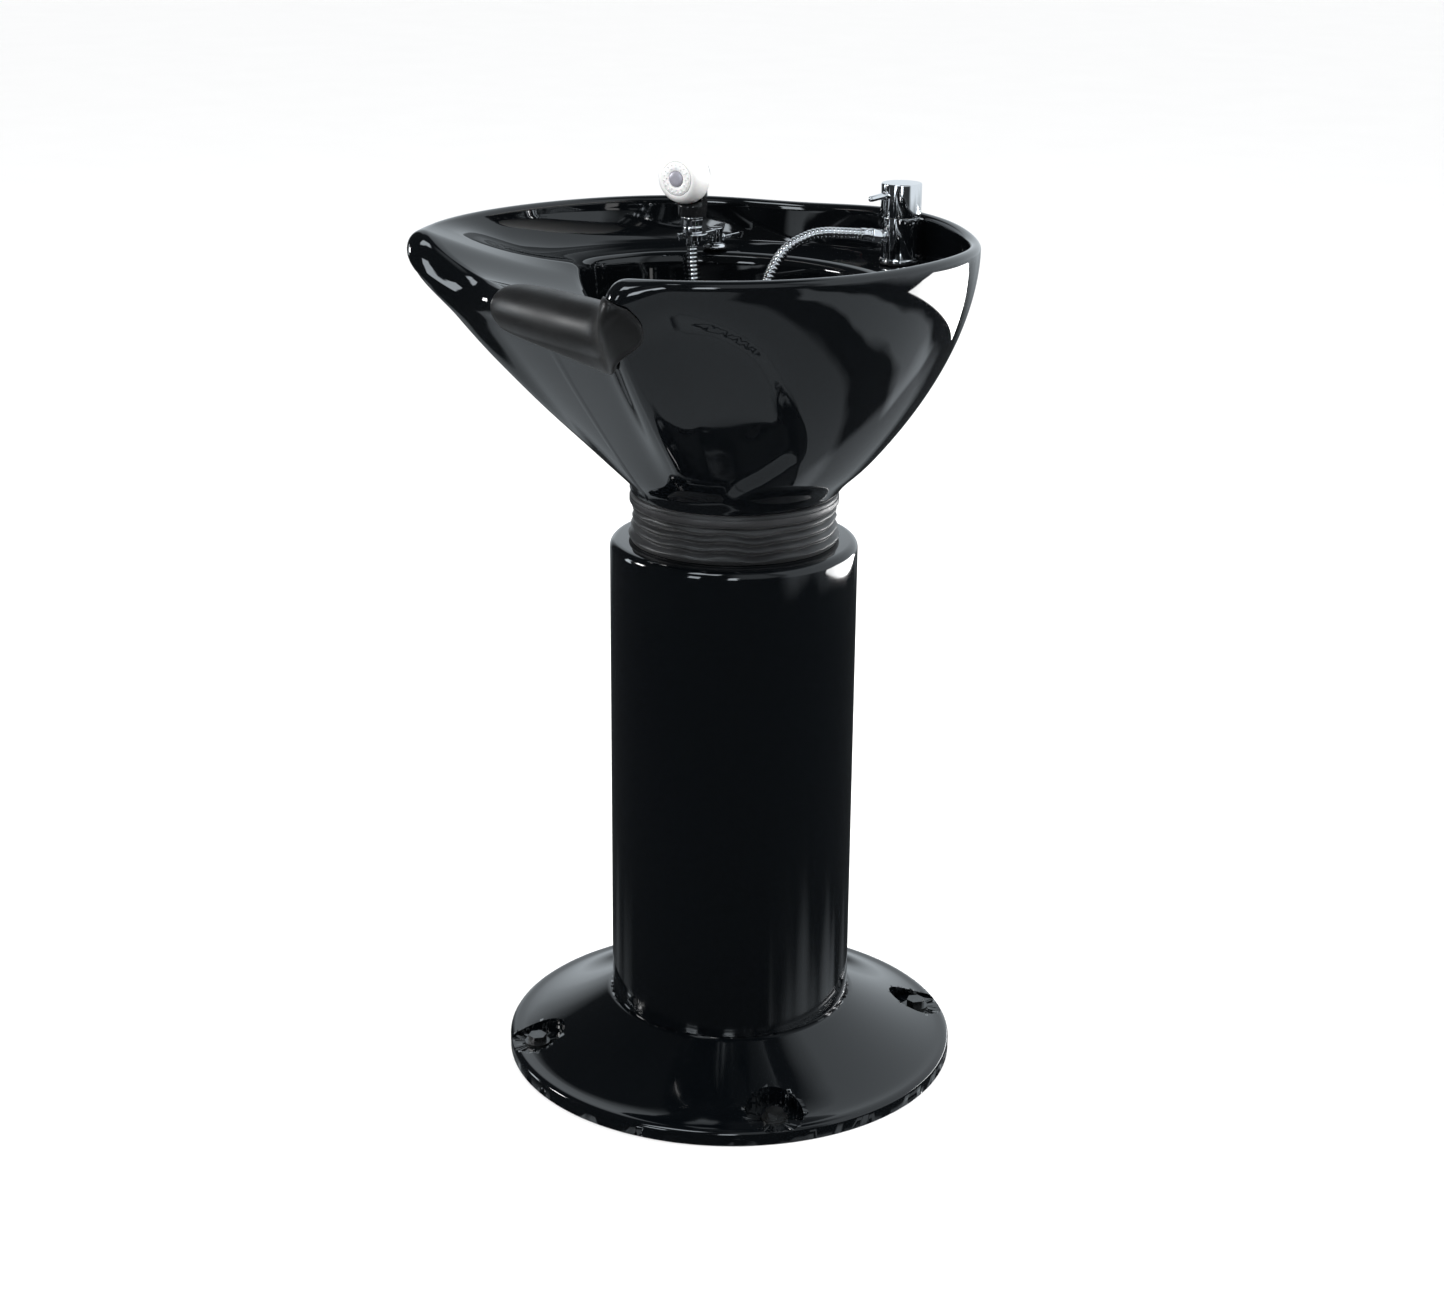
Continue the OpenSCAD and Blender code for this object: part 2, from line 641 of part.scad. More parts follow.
// ---- hose and its fittings ----
module hose_outlet() {
  color(chrome) along_outlet() difference() {
    union() {
      translate([0, 0, 17.6]) cylinder(r = 5, h = 12.2);
      translate([0, 0, mixer_r + 1.8]) cylinder(r = 6.6, h = 1.8);
    }
    translate([0, 0, 10]) cylinder(r = 3, h = 30);
  }
}
module outlet_nut() {
  color(chrome) along_outlet() difference() {
    translate([0, 0, 24.4]) cylinder(r = 8.4, h = 11, $fn = 6);
    translate([0, 0, 20]) cylinder(r = 5.1, h = 10);
    translate([0, 0, 28]) cylinder(r = 3.6, h = 10);
  }
}
module outlet_ferrule() {
  color(chrome) along_outlet() rotate_extrude() polygon([
    [3.8, 35.6], [6.8, 35.6], [6.8, 47], [6.2, 48.6], [3.8, 48.6]
  ]);
}
hose_start = [mixer_x, mixer_y, outlet_z] + 48.8 * unit(outlet_dir);
loop_from = 205;
loop_to = 815;
loop_points = 48;
hose_route = concat(
  [hose_start, [2, 148, 909], [-2, 136, 910], [-6, 122, 911], [-10, 108, 910], [-13, 95, 906]],
  [[-16, 82, 900], [-18, 71, 891], [-19, 61, 878], [-20, 53, 860], [-20, 45, 835]],
  [[-24, 36, 812], [-31, 26, 787], [-40, 14, 762], [-48, 2, 741], [-53, -8, 726]],
  [for (i = [0:loop_points])
    let (t = i / loop_points, a = mix(loop_from, loop_to, t), r = mix(60, 81, t))
    [r * cos(a), 8 + r * sin(a), 713.8 + 3 * t + mix(4.2, 11.2, t) * pow(sin(a), 2)]],
  [[-38, 84, 729], [-70, 76, 739], [-98, 69, 755], [-122, 61, 777], [-140, 55, 803]],
  [[-150, 51, 832], [-154, 50, 858], [-155, 50, 872], [-155, 50, 882.8]]
);
module shower_hose() {
  color(chrome) tube(hose_route, hose_r, 8, [0, 0, 1]);
}

// ---- hand shower ----
module at_handset() { translate([handset_pos[0], handset_pos[1], 0]) children(); }
module handset_ferrule() {
  color(chrome) at_handset() rotate_extrude() polygon([
    [0, 883], [6.6, 883], [7.4, 885], [7.4, 895], [8.4, 896], [8.4, 900], [0, 900]
  ]);
}
module handset_collar() {
  color(chrome) at_handset() difference() {
    rotate_extrude() polygon([
      [0, 897.4], [10.4, 897.4], [11, 898.4], [11, 911.5], [12.4, 912.5], [12.4, 914.8], [0, 914.8]
    ]);
    translate([0, 0, 890]) cylinder(r = 8.45, h = 10.1);
  }
}
face_turn = 24;
face_up = -2;
head_z_mid = 960;
module along_face() {
  translate([handset_pos[0], handset_pos[1], head_z_mid])
    rotate([90 - face_up, 0, face_turn]) children();
}
module handset_body() {
  color(satin_black) difference() {
    union() {
      at_handset() rotate_extrude() polygon([
        [0, 915], [14.6, 915], [15.6, 917], [16.4, 925], [16.6, 938], [16, 950], [14, 960], [0, 964]
      ]);
      along_face() rotate_extrude() polygon([
        [0, -16], [12, -14], [18, -8], [20.5, 0], [20.5, 5.8], [0, 5.8]
      ]);
    }
    along_face() translate([0, 0, 5.8]) cylinder(r = 31, h = 20);
  }
}
module spray_shell() {
  color(white) along_face() difference() {
    rotate_extrude() polygon(concat(
      [[0, 6], [24, 6], [27.4, 8], [spray_r, 12]],
      [for (a = [0:12:84]) [spray_r - 10 + 10 * cos(a), 15 + 18 * sin(a)]],
      [[0, 33]]
    ));
    translate([0, 0, 31.4]) cylinder(r = 18.2, h = 5);
  }
}
module spray_plate() {
  color(white) along_face() difference() {
    translate([0, 0, 31.6]) cylinder(r = 18, h = 2.2);
    for (n = [0:1], k = [0:11 + 6 * n])
      rotate([0, 0, 360 * k / (12 + 6 * n)]) translate([12 + 3.4 * n, 0, 30])
        cylinder(r = 0.7, h = 6, $fn = 16);
    translate([0, 0, 32.6]) cylinder(r = 8.7, h = 5);
  }
}
module spray_badge() {
  color("#b9b8c0") along_face() translate([0, 0, 32.8]) cylinder(r = 8.5, h = 1.8);
}

// ---- holder of the hand shower ----
holder_run = norm(handset_pos - holder_pos);
holder_turn = atan2(handset_pos[1] - holder_pos[1], handset_pos[0] - holder_pos[0]);
module at_holder() {
  translate([holder_pos[0], holder_pos[1], 0]) rotate([0, 0, holder_turn]) children();
}
module holder_gasket() {
  color(satin_black) at_holder() ring(12.6, 6, seat_z, seat_z + 1.2);
}
module holder_base() {
  color(chrome) at_holder() {
    rotate_extrude() polygon([
      [0, seat_z + 1.2], [13.5, seat_z + 1.2], [13.5, seat_z + 2.4], [12, seat_z + 4.4],
      [8, seat_z + 6], [6, seat_z + 6.4], [6, 888.6], [0, 888.6]
    ]);
    translate([0, 0, ledge_z - 32]) cylinder(r = 4, h = 36);
  }
}
module holder_nut() {
  color(steel) at_holder() difference() {
    hex(14, ledge_z - 28, ledge_z - 21.2);
    translate([0, 0, ledge_z - 40]) cylinder(r = 4.1, h = 30);
  }
}
module at_screw() {
  at_holder() translate([0, 0, 884.2]) rotate([0, 0, 165]) rotate([0, 86, 0]) children();
}
module holder_arm() {
  color(chrome) difference() {
    union() {
      at_holder() {
        translate([0, 0, 881]) cylinder(r = 8.6, h = 16);
        translate([0, -5, 890]) cube([holder_run - 10, 10, 6]);
      }
      at_handset() translate([0, 0, 889.5]) cylinder(r = 17, h = 7.5);
    }
    at_handset() translate([0, 0, 880]) cylinder(r = 9.4, h = 30);
    at_handset() rotate([0, 0, holder_turn]) translate([0, -6.6, 880]) cube([30, 13.2, 30]);
    at_holder() translate([0, 0, 870]) cylinder(r = 6.2, h = 18.8);
    at_screw() translate([0, 0, 3]) cylinder(r = 2.7, h = 12);
  }
}
module holder_screw() {
  color(chrome) at_screw() {
    translate([0, 0, 7]) cylinder(r = 2.5, h = 9);
    translate([0, 0, 9.6]) cylinder(r = 4.4, h = 3);
    translate([-2, -2.6, 12]) cube([4, 5.2, 24]);
  }
}

floor_plate();
foot_cover();
anchor_nuts();
anchor_washers();
uprights();
head_plate();
head_bolts();
pivot_ears();
column_shell();
bellows();
bellows_lower_ring();
bellows_clamp();
pivot_bolts();
friction_washers();
pivot_nuts();
cradle();
cradle_pads();
cradle_bolts();
bowl_shell();
neck_rest();
waste_flange();
waste_gasket();
strainer_basket();
waste_body();
waste_nut();
waste_hose();
waste_socket();
hot_supply_hose();
cold_supply_hose();
supply_unions();
mixer_gasket();
mixer_base_ring();
mixer_body();
mixer_shank();
mixer_clamp_plate();
mixer_nut();
mixer_cartridge();
cartridge_nut();
mixer_turret();
mixer_spindle();
mixer_cap();
mixer_lever();
lever_screw();
hose_outlet();
outlet_nut();
outlet_ferrule();
shower_hose();
handset_ferrule();
handset_collar();
handset_body();
spray_shell();
spray_plate();
spray_badge();
holder_gasket();
holder_base();
holder_nut();
holder_arm();
holder_screw();
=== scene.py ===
"""A tilting shampoo basin on a pedestal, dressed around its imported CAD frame."""

from math import acos, atan2, copysign, cos, degrees, dist, exp, hypot, pi, radians, sin

import bmesh
import bpy
import numpy as np
from mathutils import Matrix, Vector


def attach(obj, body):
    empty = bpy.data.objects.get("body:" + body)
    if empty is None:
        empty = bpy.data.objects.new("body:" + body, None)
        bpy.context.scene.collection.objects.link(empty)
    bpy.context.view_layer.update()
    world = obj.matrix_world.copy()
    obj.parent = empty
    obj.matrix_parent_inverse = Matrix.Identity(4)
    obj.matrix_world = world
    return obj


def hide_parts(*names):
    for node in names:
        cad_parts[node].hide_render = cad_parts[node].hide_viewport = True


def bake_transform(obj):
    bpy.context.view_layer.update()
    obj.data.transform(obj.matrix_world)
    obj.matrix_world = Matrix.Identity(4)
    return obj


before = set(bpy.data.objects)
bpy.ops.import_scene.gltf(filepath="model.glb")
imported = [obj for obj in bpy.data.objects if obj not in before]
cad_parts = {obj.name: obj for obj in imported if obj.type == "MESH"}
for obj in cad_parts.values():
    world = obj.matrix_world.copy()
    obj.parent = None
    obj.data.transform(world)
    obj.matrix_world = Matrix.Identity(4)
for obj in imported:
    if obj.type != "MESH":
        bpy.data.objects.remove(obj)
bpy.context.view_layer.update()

MM = 0.001


def new_object(name, data):
    obj = bpy.data.objects.new(name, data)
    bpy.context.scene.collection.objects.link(obj)
    return obj


# ---- camera
LENS, SENSOR_W, CAMERA_ROLL = 61.75, 36, 0.45
CAMERA_PLACE, CAMERA_LOOK = (2.0867, -1.4754, 1.3344), (-0.7757, 0.5431, -0.3214)


def add_camera():
    data = bpy.data.cameras.new("camera")
    data.lens, data.sensor_width = LENS, SENSOR_W
    data.clip_end = 50
    camera = new_object("camera", data)
    turn = Vector(CAMERA_LOOK).to_track_quat("-Z", "Y")
    turn = turn @ Matrix.Rotation(radians(CAMERA_ROLL), 3, "Z").to_quaternion()
    camera.matrix_world = Matrix.Translation(CAMERA_PLACE) @ turn.to_matrix().to_4x4()
    bpy.context.scene.camera = camera


add_camera()


# ---- small maths
def mix(a, b, f):
    return a + (b - a) * f


def unit_share(v):
    return min(1.0, max(0.0, v))


def smooth(v):
    c = unit_share(v)
    return c * c * (3 - 2 * c)


def lobe(a, n):
    return copysign(abs(a) ** (2 / n), a)


def unit(v):
    v = np.asarray(v, float)
    return v / np.linalg.norm(v)


def plan(ahead, side, z):
    return np.array([side, -ahead, z], float)


def on_ring(r, a, z):
    """A point r from the axis, a round from straight ahead."""
    return plan(r * cos(a), r * sin(a), z)


def spline(points, step):
    """Points every `step` along a smooth line through `points`."""
    p = [np.asarray(q, float) for q in points]
    p = [2 * p[0] - p[1]] + p + [2 * p[-1] - p[-2]]
    fine = []
    for a, b, c, d in zip(p, p[1:], p[2:], p[3:]):
        for t in np.linspace(0, 1, 24, endpoint=False):
            fine.append(0.5 * (2 * b + (c - a) * t + (2 * a - 5 * b + 4 * c - d) * t * t
                               + (3 * b - a - 3 * c + d) * t ** 3))
    fine = np.array(fine + [p[-2]])
    run = np.concatenate([[0], np.cumsum(np.linalg.norm(np.diff(fine, axis=0), axis=1))])
    at = np.linspace(0, run[-1], max(2, round(run[-1] / step) + 1))
    return np.stack([np.interp(at, run, fine[:, k]) for k in range(3)], 1)


def turned_frames(path):
    """A tangent and two normals at each point of a path, with no twist."""
    heads = np.gradient(path, axis=0)
    heads /= np.linalg.norm(heads, axis=1)[:, None]
    n = unit(np.cross(heads[0], [0.3, 0.2, 0.9]))
    ns = []
    for t in heads:
        n = unit(n - t * (n @ t))
        ns.append(n)
    ns = np.array(ns)
    return heads, ns, np.cross(heads, ns)


# ---- mesh helpers, in millimetres
def settle(obj, body, replaced):
    """Lets a piece ride its body and stand in for the nodes it dresses."""
    if body is not None:
        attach(obj, body)
    if replaced:
        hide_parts(*replaced)
    return obj


def clean(mesh, merge_gap=0):
    """Points every face outwards, and joins points that are within merge_gap metres."""
    bm = bmesh.new()
    bm.from_mesh(mesh)
    if merge_gap:
        bmesh.ops.remove_doubles(bm, verts=bm.verts, dist=merge_gap)
    bmesh.ops.recalc_face_normals(bm, faces=bm.faces)
    bm.to_mesh(mesh)
    bm.free()


def mesh_piece(name, verts, faces, material, body=None, replaced=(), sharp=None, place=None):
    """A smooth-shaded object from points in mm. place is a matrix in mm, sharp an angle in degrees."""
    mesh = bpy.data.meshes.new(name)
    v = np.asarray(verts, float).reshape(-1, 3)
    if place is not None:
        m = np.array(place)
        v = v @ m[:3, :3].T + m[:3, 3]
    mesh.from_pydata((v * MM).tolist(), [], faces)
    mesh.validate()
    clean(mesh)
    mesh.shade_smooth()
    if sharp is not None:
        mesh.set_sharp_from_angle(angle=radians(sharp))
    obj = new_object(name, mesh)
    mesh.materials.append(material)
    return settle(obj, body, replaced)


def grid_faces(rows, columns, wrap_rows=False):
    """Quads between rings of points; wrap_rows also joins the last ring to the first."""
    faces = []
    for j in range(rows if wrap_rows else rows - 1):
        here, beyond = j * columns, (j + 1) % rows * columns
        for i in range(columns):
            k = (i + 1) % columns
            faces.append([here + i, here + k, beyond + k, beyond + i])
    return faces


def capped_faces(rows, columns):
    """Quads between rings of points, with the first and last ring filled."""
    last = (rows - 1) * columns
    ends = [list(range(columns))[::-1], [last + i for i in range(columns)]]
    return grid_faces(rows, columns) + ends


def raised(base, outline):
    """An outline whose heights are given above base."""
    return [(r, base + z) for r, z in outline]


def rounded(outline, r, steps=4, keep=()):
    """A closed (r, z) outline with each corner eased by r. Corners on the axis or in keep stay."""
    out, n = [], len(outline)
    for i, corner in enumerate(outline):
        p = np.array(corner, float)
        before, after = np.array(outline[i - 1], float), np.array(outline[(i + 1) % n], float)
        if i in keep or p[0] < 1e-6:
            out.append(p)
            continue
        one, two = before - p, after - p
        reach = min(r, np.linalg.norm(one) * 0.45, np.linalg.norm(two) * 0.45)
        a, b = p + unit(one) * reach, p + unit(two) * reach
        for t in np.linspace(0, 1, steps + 1):
            out.append((1 - t) ** 2 * a + 2 * t * (1 - t) * p + t * t * b)
    return out


def lathe_data(outline, n=96, closed=True):
    outline = np.array(outline, float)
    turns = np.linspace(0, 2 * pi, n, endpoint=False)
    verts = np.array([[r * cos(a), r * sin(a), z] for r, z in outline for a in turns])
    return verts, grid_faces(len(outline), n, wrap_rows=closed)


def lathe(name, outline, material, body=None, replaced=(), n=96, closed=True, place=None,
          sharp=None):
    """A turned piece. A closed outline joins end to start; an open one has both on the axis."""
    verts, faces = lathe_data(outline, n, closed)
    obj = mesh_piece(name, verts, faces, material, sharp=sharp, place=place)
    clean(obj.data, 0.01 * MM)
    return settle(obj, body, replaced)


def join(name, parts, material, body, replaced):
    """One piece from several finished ones."""
    bm = bmesh.new()
    for part in parts:
        part.data.transform(part.matrix_world)
        bm.from_mesh(part.data)
    mesh = bpy.data.meshes.new(name)
    bm.to_mesh(mesh)
    bm.free()
    for part in parts:
        bpy.data.objects.remove(part)
    mesh.materials.clear()
    mesh.materials.append(material)
    for face in mesh.polygons:
        face.material_index = 0
    return settle(new_object(name, mesh), body, replaced)


def box_data(low, high):
    x0, y0, z0 = low
    x1, y1, z1 = high
    verts = [(x0, y0, z0), (x1, y0, z0), (x1, y1, z0), (x0, y1, z0),
             (x0, y0, z1), (x1, y0, z1), (x1, y1, z1), (x0, y1, z1)]
    faces = [(0, 3, 2, 1), (4, 5, 6, 7), (0, 1, 5, 4), (1, 2, 6, 5), (2, 3, 7, 6), (3, 0, 4, 7)]
    return verts, faces


def prism_data(outline, z_low, z_high):
    """A closed prism from a plan outline."""
    n = len(outline)
    verts = [(x, y, z_low) for x, y in outline] + [(x, y, z_high) for x, y in outline]
    faces = [list(range(n - 1, -1, -1)), list(range(n, 2 * n))]
    faces += [[i, (i + 1) % n, n + (i + 1) % n, n + i] for i in range(n)]
    return verts, faces


def apply_modifiers(obj):
    bpy.context.view_layer.update()
    deps = bpy.context.evaluated_depsgraph_get()
    done = bpy.data.meshes.new_from_object(obj.evaluated_get(deps))
    obj.modifiers.clear()
    obj.data = done


def bevel(obj, width, angle=30):
    """Rounds every edge sharper than angle, width mm wide."""
    mod = obj.modifiers.new("soft_edges", "BEVEL")
    mod.width, mod.segments = width * MM, 3
    mod.limit_method, mod.angle_limit = "ANGLE", radians(angle)
    mod.harden_normals = True
    apply_modifiers(obj)


def cut(obj, tool):
    """Takes the tool's shape out of obj and removes the tool."""
    mod = obj.modifiers.new("cut", "BOOLEAN")
    mod.operation, mod.solver, mod.object = "DIFFERENCE", "EXACT", tool
    apply_modifiers(obj)
    bpy.data.objects.remove(tool)


def at(x, y, z):
    return Matrix.Translation((x, y, z))


def facing(origin, direction):
    """A matrix that puts +Z along direction."""
    z = Vector(direction).normalized()
    x = Vector((0, 0, 1)).cross(z)
    x = x.normalized() if x.length > 1e-6 else Vector((1, 0, 0))
    y = z.cross(x)
    m = Matrix((x, y, z)).transposed().to_4x4()
    return Matrix.Translation(origin) @ m


# ---- materials
class Graph:
    """Short calls that add nodes to a tree."""

    def __init__(self, tree):
        self.nodes, self.links = tree.nodes, tree.links

    def add(self, kind, inputs=None, **settings):
        node = self.nodes.new(kind)
        for key, value in settings.items():
            setattr(node, key, value)
        for key, value in (inputs or {}).items():
            node.inputs[key].default_value = value
        return node

    def ranged(self, value, low, high, to_low, to_high):
        node = self.add("ShaderNodeMapRange", {"From Min": low, "From Max": high, "To Min": to_low,
                                               "To Max": to_high}, clamp=True)
        self.links.new(value, node.inputs["Value"])
        return node.outputs["Result"]

    def sums(self, a, b, operation="ADD"):
        node = self.add("ShaderNodeMath", operation=operation)
        for value, socket in ((a, node.inputs[0]), (b, node.inputs[1])):
            if isinstance(value, (int, float)):
                socket.default_value = value
            else:
                self.links.new(value, socket)
        return node.outputs[0]


class Shader(Graph):
    """A Principled material and short calls that add to it."""

    def __init__(self, name, colour, roughness, metallic=0.0, **sockets):
        self.material = bpy.data.materials.new(name)
        self.material.use_nodes = True
        super().__init__(self.material.node_tree)
        self.main = self.nodes["Principled BSDF"]
        self.main.inputs["Base Color"].default_value = (*colour, 1)
        self.main.inputs["Roughness"].default_value = roughness
        self.main.inputs["Metallic"].default_value = metallic
        for key, value in sockets.items():
            self.main.inputs[key.replace("_", " ")].default_value = value
        self.place = self.add("ShaderNodeTexCoord").outputs["Object"]

    def noise(self, scale, detail=3, roughness=0.5, stretch=None, distortion=0.0):
        node = self.add("ShaderNodeTexNoise", {"Scale": scale, "Detail": detail,
                                               "Roughness": roughness, "Distortion": distortion})
        place = self.place
        if stretch:
            mapping = self.add("ShaderNodeMapping", {"Scale": stretch})
            self.links.new(place, mapping.inputs["Vector"])
            place = mapping.outputs["Vector"]
        self.links.new(place, node.inputs["Vector"])
        return node.outputs["Fac"]

    def specks(self, scale, size):
        """1 inside scattered small spots, 0 elsewhere."""
        node = self.add("ShaderNodeTexVoronoi", {"Scale": scale}, feature="F1")
        self.links.new(self.place, node.inputs["Vector"])
        return self.ranged(node.outputs["Distance"], size * 0.4, size, 1, 0)

    def colours(self, value, low, high):
        """Blends the base colour from low to high by value."""
        node = self.add("ShaderNodeMix", {"A": (*low, 1), "B": (*high, 1)}, data_type="RGBA")
        self.links.new(value, node.inputs["Factor"])
        self.links.new(node.outputs["Result"], self.main.inputs["Base Color"])

    def rough(self, value):
        self.links.new(value, self.main.inputs["Roughness"])

    def uneven(self, low, high, scale, detail=4, grain=0.5):
        """Roughness that wanders between low and high."""
        self.rough(self.ranged(self.noise(scale, detail, grain), 0.3, 0.7, low, high))

    def bump(self, value, depth, strength=1.0):
        node = self.add("ShaderNodeBump", {"Strength": strength, "Distance": depth})
        self.links.new(value, node.inputs["Height"])
        if self.main.inputs["Normal"].is_linked:
            self.links.new(self.main.inputs["Normal"].links[0].from_socket, node.inputs["Normal"])
        self.links.new(node.outputs["Normal"], self.main.inputs["Normal"])


def glaze():
    """Black glazed ceramic: a wet gloss with a slow ripple and a few pinholes."""
    s = Shader("black_glaze", (0.0016, 0.0021, 0.0027), 0.03, IOR=1.5, Coat_Weight=0.3,
               Coat_Roughness=0.02, Coat_IOR=1.5)
    s.colours(s.noise(9, 4), (0.0012, 0.0017, 0.0022), (0.0026, 0.0031, 0.0038))
    s.rough(s.ranged(s.noise(30, 5, 0.6), 0.35, 0.75, 0.02, 0.07))
    s.bump(s.noise(6, 2), 0.0009, 0.35)
    s.bump(s.specks(160, 0.06), -0.00012, 0.4)
    return s.material


def lacquer():
    """Black lacquer on the column and foot, with orange peel, dust and faint wipe marks."""
    s = Shader("black_lacquer", (0.0014, 0.0019, 0.0025), 0.05, IOR=1.5, Coat_Weight=0.25,
               Coat_Roughness=0.03)
    dust = s.sums(s.specks(260, 0.07), s.ranged(s.noise(6, 3), 0.45, 0.7, 0, 1), "MULTIPLY")
    s.colours(dust, (0.0012, 0.0017, 0.0023), (0.022, 0.023, 0.025))
    wipes = s.noise(22, 6, 0.65, stretch=(1, 1, 0.12), distortion=0.4)
    s.rough(s.ranged(wipes, 0.3, 0.75, 0.035, 0.13))
    s.bump(s.noise(240, 2), 0.00002, 0.5)
    s.bump(s.noise(14, 2), 0.0002, 0.2)
    return s.material


def rubber():
    """Satin black moulded rubber with a fine grain and slightly polished patches."""
    s = Shader("black_rubber", (0.006, 0.0062, 0.0068), 0.42, IOR=1.38, Sheen_Weight=0.03,
               Sheen_Roughness=0.5)
    s.colours(s.noise(26, 5, 0.6), (0.002, 0.0022, 0.0025), (0.006, 0.0063, 0.0068))
    s.uneven(0.3, 0.5, 12, grain=0.6)
    s.bump(s.noise(900, 3, 0.7), 0.00004, 0.6)
    s.bump(s.noise(60, 3), 0.0002, 0.25)
    return s.material


def bellows_rubber():
    """Thin folded rubber with creases that run round it and a dusty bloom, with painted shade in the
    crease hollows.
    """
    s = Shader("bellows_rubber", (0.02, 0.021, 0.0225), 0.4, IOR=1.5, Sheen_Weight=0.1,
               Sheen_Roughness=0.45)
    creases = s.noise(34, 5, 0.62, stretch=(0.35, 0.35, 3.2), distortion=0.7)
    # Painted light and shade: the colour follows the crease heights, darker down in the hollows and paler
    # on the crowns.
    s.colours(s.ranged(creases, 0.4, 0.75, 0, 1), (0.007, 0.0076, 0.0085), (0.022, 0.0235, 0.0255))
    s.uneven(0.32, 0.52, 18)
    s.bump(creases, 0.0011, 0.55)
    s.bump(s.noise(700, 2), 0.00004, 0.5)
    return s.material


def chrome():
    """Polished chrome plate with water marks and hairline scratches."""
    s = Shader("polished_chrome", (0.86, 0.87, 0.885), 0.05, 1.0)
    s.colours(s.noise(18, 4), (0.82, 0.83, 0.85), (0.9, 0.905, 0.915))
    marks = s.sums(s.noise(45, 6, 0.7), s.noise(320, 2, 0.5, stretch=(1, 1, 0.05)), "MULTIPLY")
    s.rough(s.ranged(marks, 0.12, 0.5, 0.03, 0.14))
    s.bump(s.noise(520, 2, 0.5, stretch=(1, 1, 0.04)), 0.000008, 0.35)
    return s.material


def hose_metal():
    """Stripwound chromed hose: bright crowns and grooves in its ribs, with colour and gloss dulled and
    darkened in patches by noise.
    """
    s = Shader("hose_chrome", (0.82, 0.83, 0.845), 0.12, 1.0)
    s.colours(s.noise(90, 4, 0.6), (0.62, 0.63, 0.65), (0.92, 0.925, 0.93))
    s.uneven(0.08, 0.24, 140, grain=0.6)
    s.bump(s.noise(1400, 2), 0.00001, 0.4)
    return s.material


def white_plastic():
    """White moulded shower plastic with a little depth and a few marks."""
    s = Shader("white_plastic", (0.86, 0.86, 0.855), 0.22, IOR=1.46, Subsurface_Weight=0.06,
               Subsurface_Scale=0.004)
    s.colours(s.noise(30, 4), (0.8, 0.8, 0.795), (0.9, 0.9, 0.895))
    s.uneven(0.16, 0.3, 110, grain=0.6)
    s.bump(s.noise(600, 2), 0.00001, 0.4)
    return s.material


def grey_plastic():
    """The blank badge: satin grey with a metallic fleck."""
    s = Shader("grey_badge", (0.42, 0.41, 0.47), 0.35, 0.25)
    s.colours(s.specks(900, 0.3), (0.36, 0.355, 0.41), (0.55, 0.54, 0.6))
    s.uneven(0.28, 0.42, 200, 3)
    s.bump(s.noise(1200, 2), 0.00001, 0.5)
    return s.material


def gloss_plastic():
    """The hand shower's black housing."""
    s = Shader("housing_black", (0.006, 0.0065, 0.007), 0.1, IOR=1.47)
    s.colours(s.noise(40, 4), (0.005, 0.0055, 0.006), (0.012, 0.0125, 0.0135))
    s.uneven(0.06, 0.18, 160, 5, 0.6)
    s.bump(s.noise(700, 2), 0.00001, 0.4)
    return s.material


def plain_plastic(name, low, high, roughness):
    """Matt moulded plastic for the parts that are out of sight."""
    s = Shader(name, low, roughness, IOR=1.47)
    s.colours(s.noise(50, 5, 0.6), low, high)
    s.uneven(roughness - 0.08, roughness + 0.1, 90)
    s.bump(s.noise(800, 3), 0.00003, 0.5)
    return s.material


def zinc(name, shade):
    """Zinc-plated steel with a mottled finish; shade is 1 for the plain plate and less for a darker copy.
    """
    dark, pale = ([shade * part for part in tone] for tone in ((0.4, 0.41, 0.42), (0.62, 0.63, 0.63)))
    s = Shader(name, pale, 0.32, 1.0)
    s.colours(s.noise(120, 5, 0.65), dark, pale)
    s.uneven(0.22, 0.45, 70, 5)
    s.bump(s.noise(500, 4), 0.00003, 0.5)
    return s.material


def brass():
    """Machined brass with turning marks and a little tarnish."""
    s = Shader("brass", (0.62, 0.46, 0.2), 0.3, 1.0)
    s.colours(s.noise(60, 5, 0.6), (0.5, 0.35, 0.14), (0.72, 0.56, 0.28))
    s.uneven(0.2, 0.42, 80)
    s.bump(s.noise(400, 3, 0.5, stretch=(0.2, 0.2, 6)), 0.00003, 0.5)
    return s.material


def frame_paint():
    """Black powder coat on the welded frame."""
    s = Shader("frame_paint", (0.02, 0.02, 0.022), 0.45, IOR=1.5)
    s.colours(s.noise(80, 4), (0.014, 0.014, 0.016), (0.032, 0.032, 0.035))
    s.uneven(0.36, 0.55, 140)
    s.bump(s.noise(900, 3), 0.00006, 0.6)
    return s.material


def braid():
    """Woven steel braid: two crossing waves round the hose, with painted shade in the gaps between the
    strands.
    """
    s = Shader("steel_braid", (0.55, 0.56, 0.57), 0.3, 1.0)
    over = [s.add("ShaderNodeTexWave", wave_type="BANDS", bands_direction="DIAGONAL") for _ in range(2)]
    for wave, stretch in zip(over, ((1, 1, 1), (-1, 1, 1))):
        mapping = s.add("ShaderNodeMapping", {"Scale": stretch})
        s.links.new(s.place, mapping.inputs["Vector"])
        s.links.new(mapping.outputs["Vector"], wave.inputs["Vector"])
        wave.inputs["Scale"].default_value = 210
    weave = s.sums(over[0].outputs["Fac"], over[1].outputs["Fac"], "MAXIMUM")
    # Painted shade: the colour follows the weave, darker where the strands dip between each other.
    s.colours(weave, (0.22, 0.225, 0.23), (0.68, 0.69, 0.7))
    s.uneven(0.22, 0.42, 60)
    s.bump(weave, 0.0003, 0.8)
    return s.material


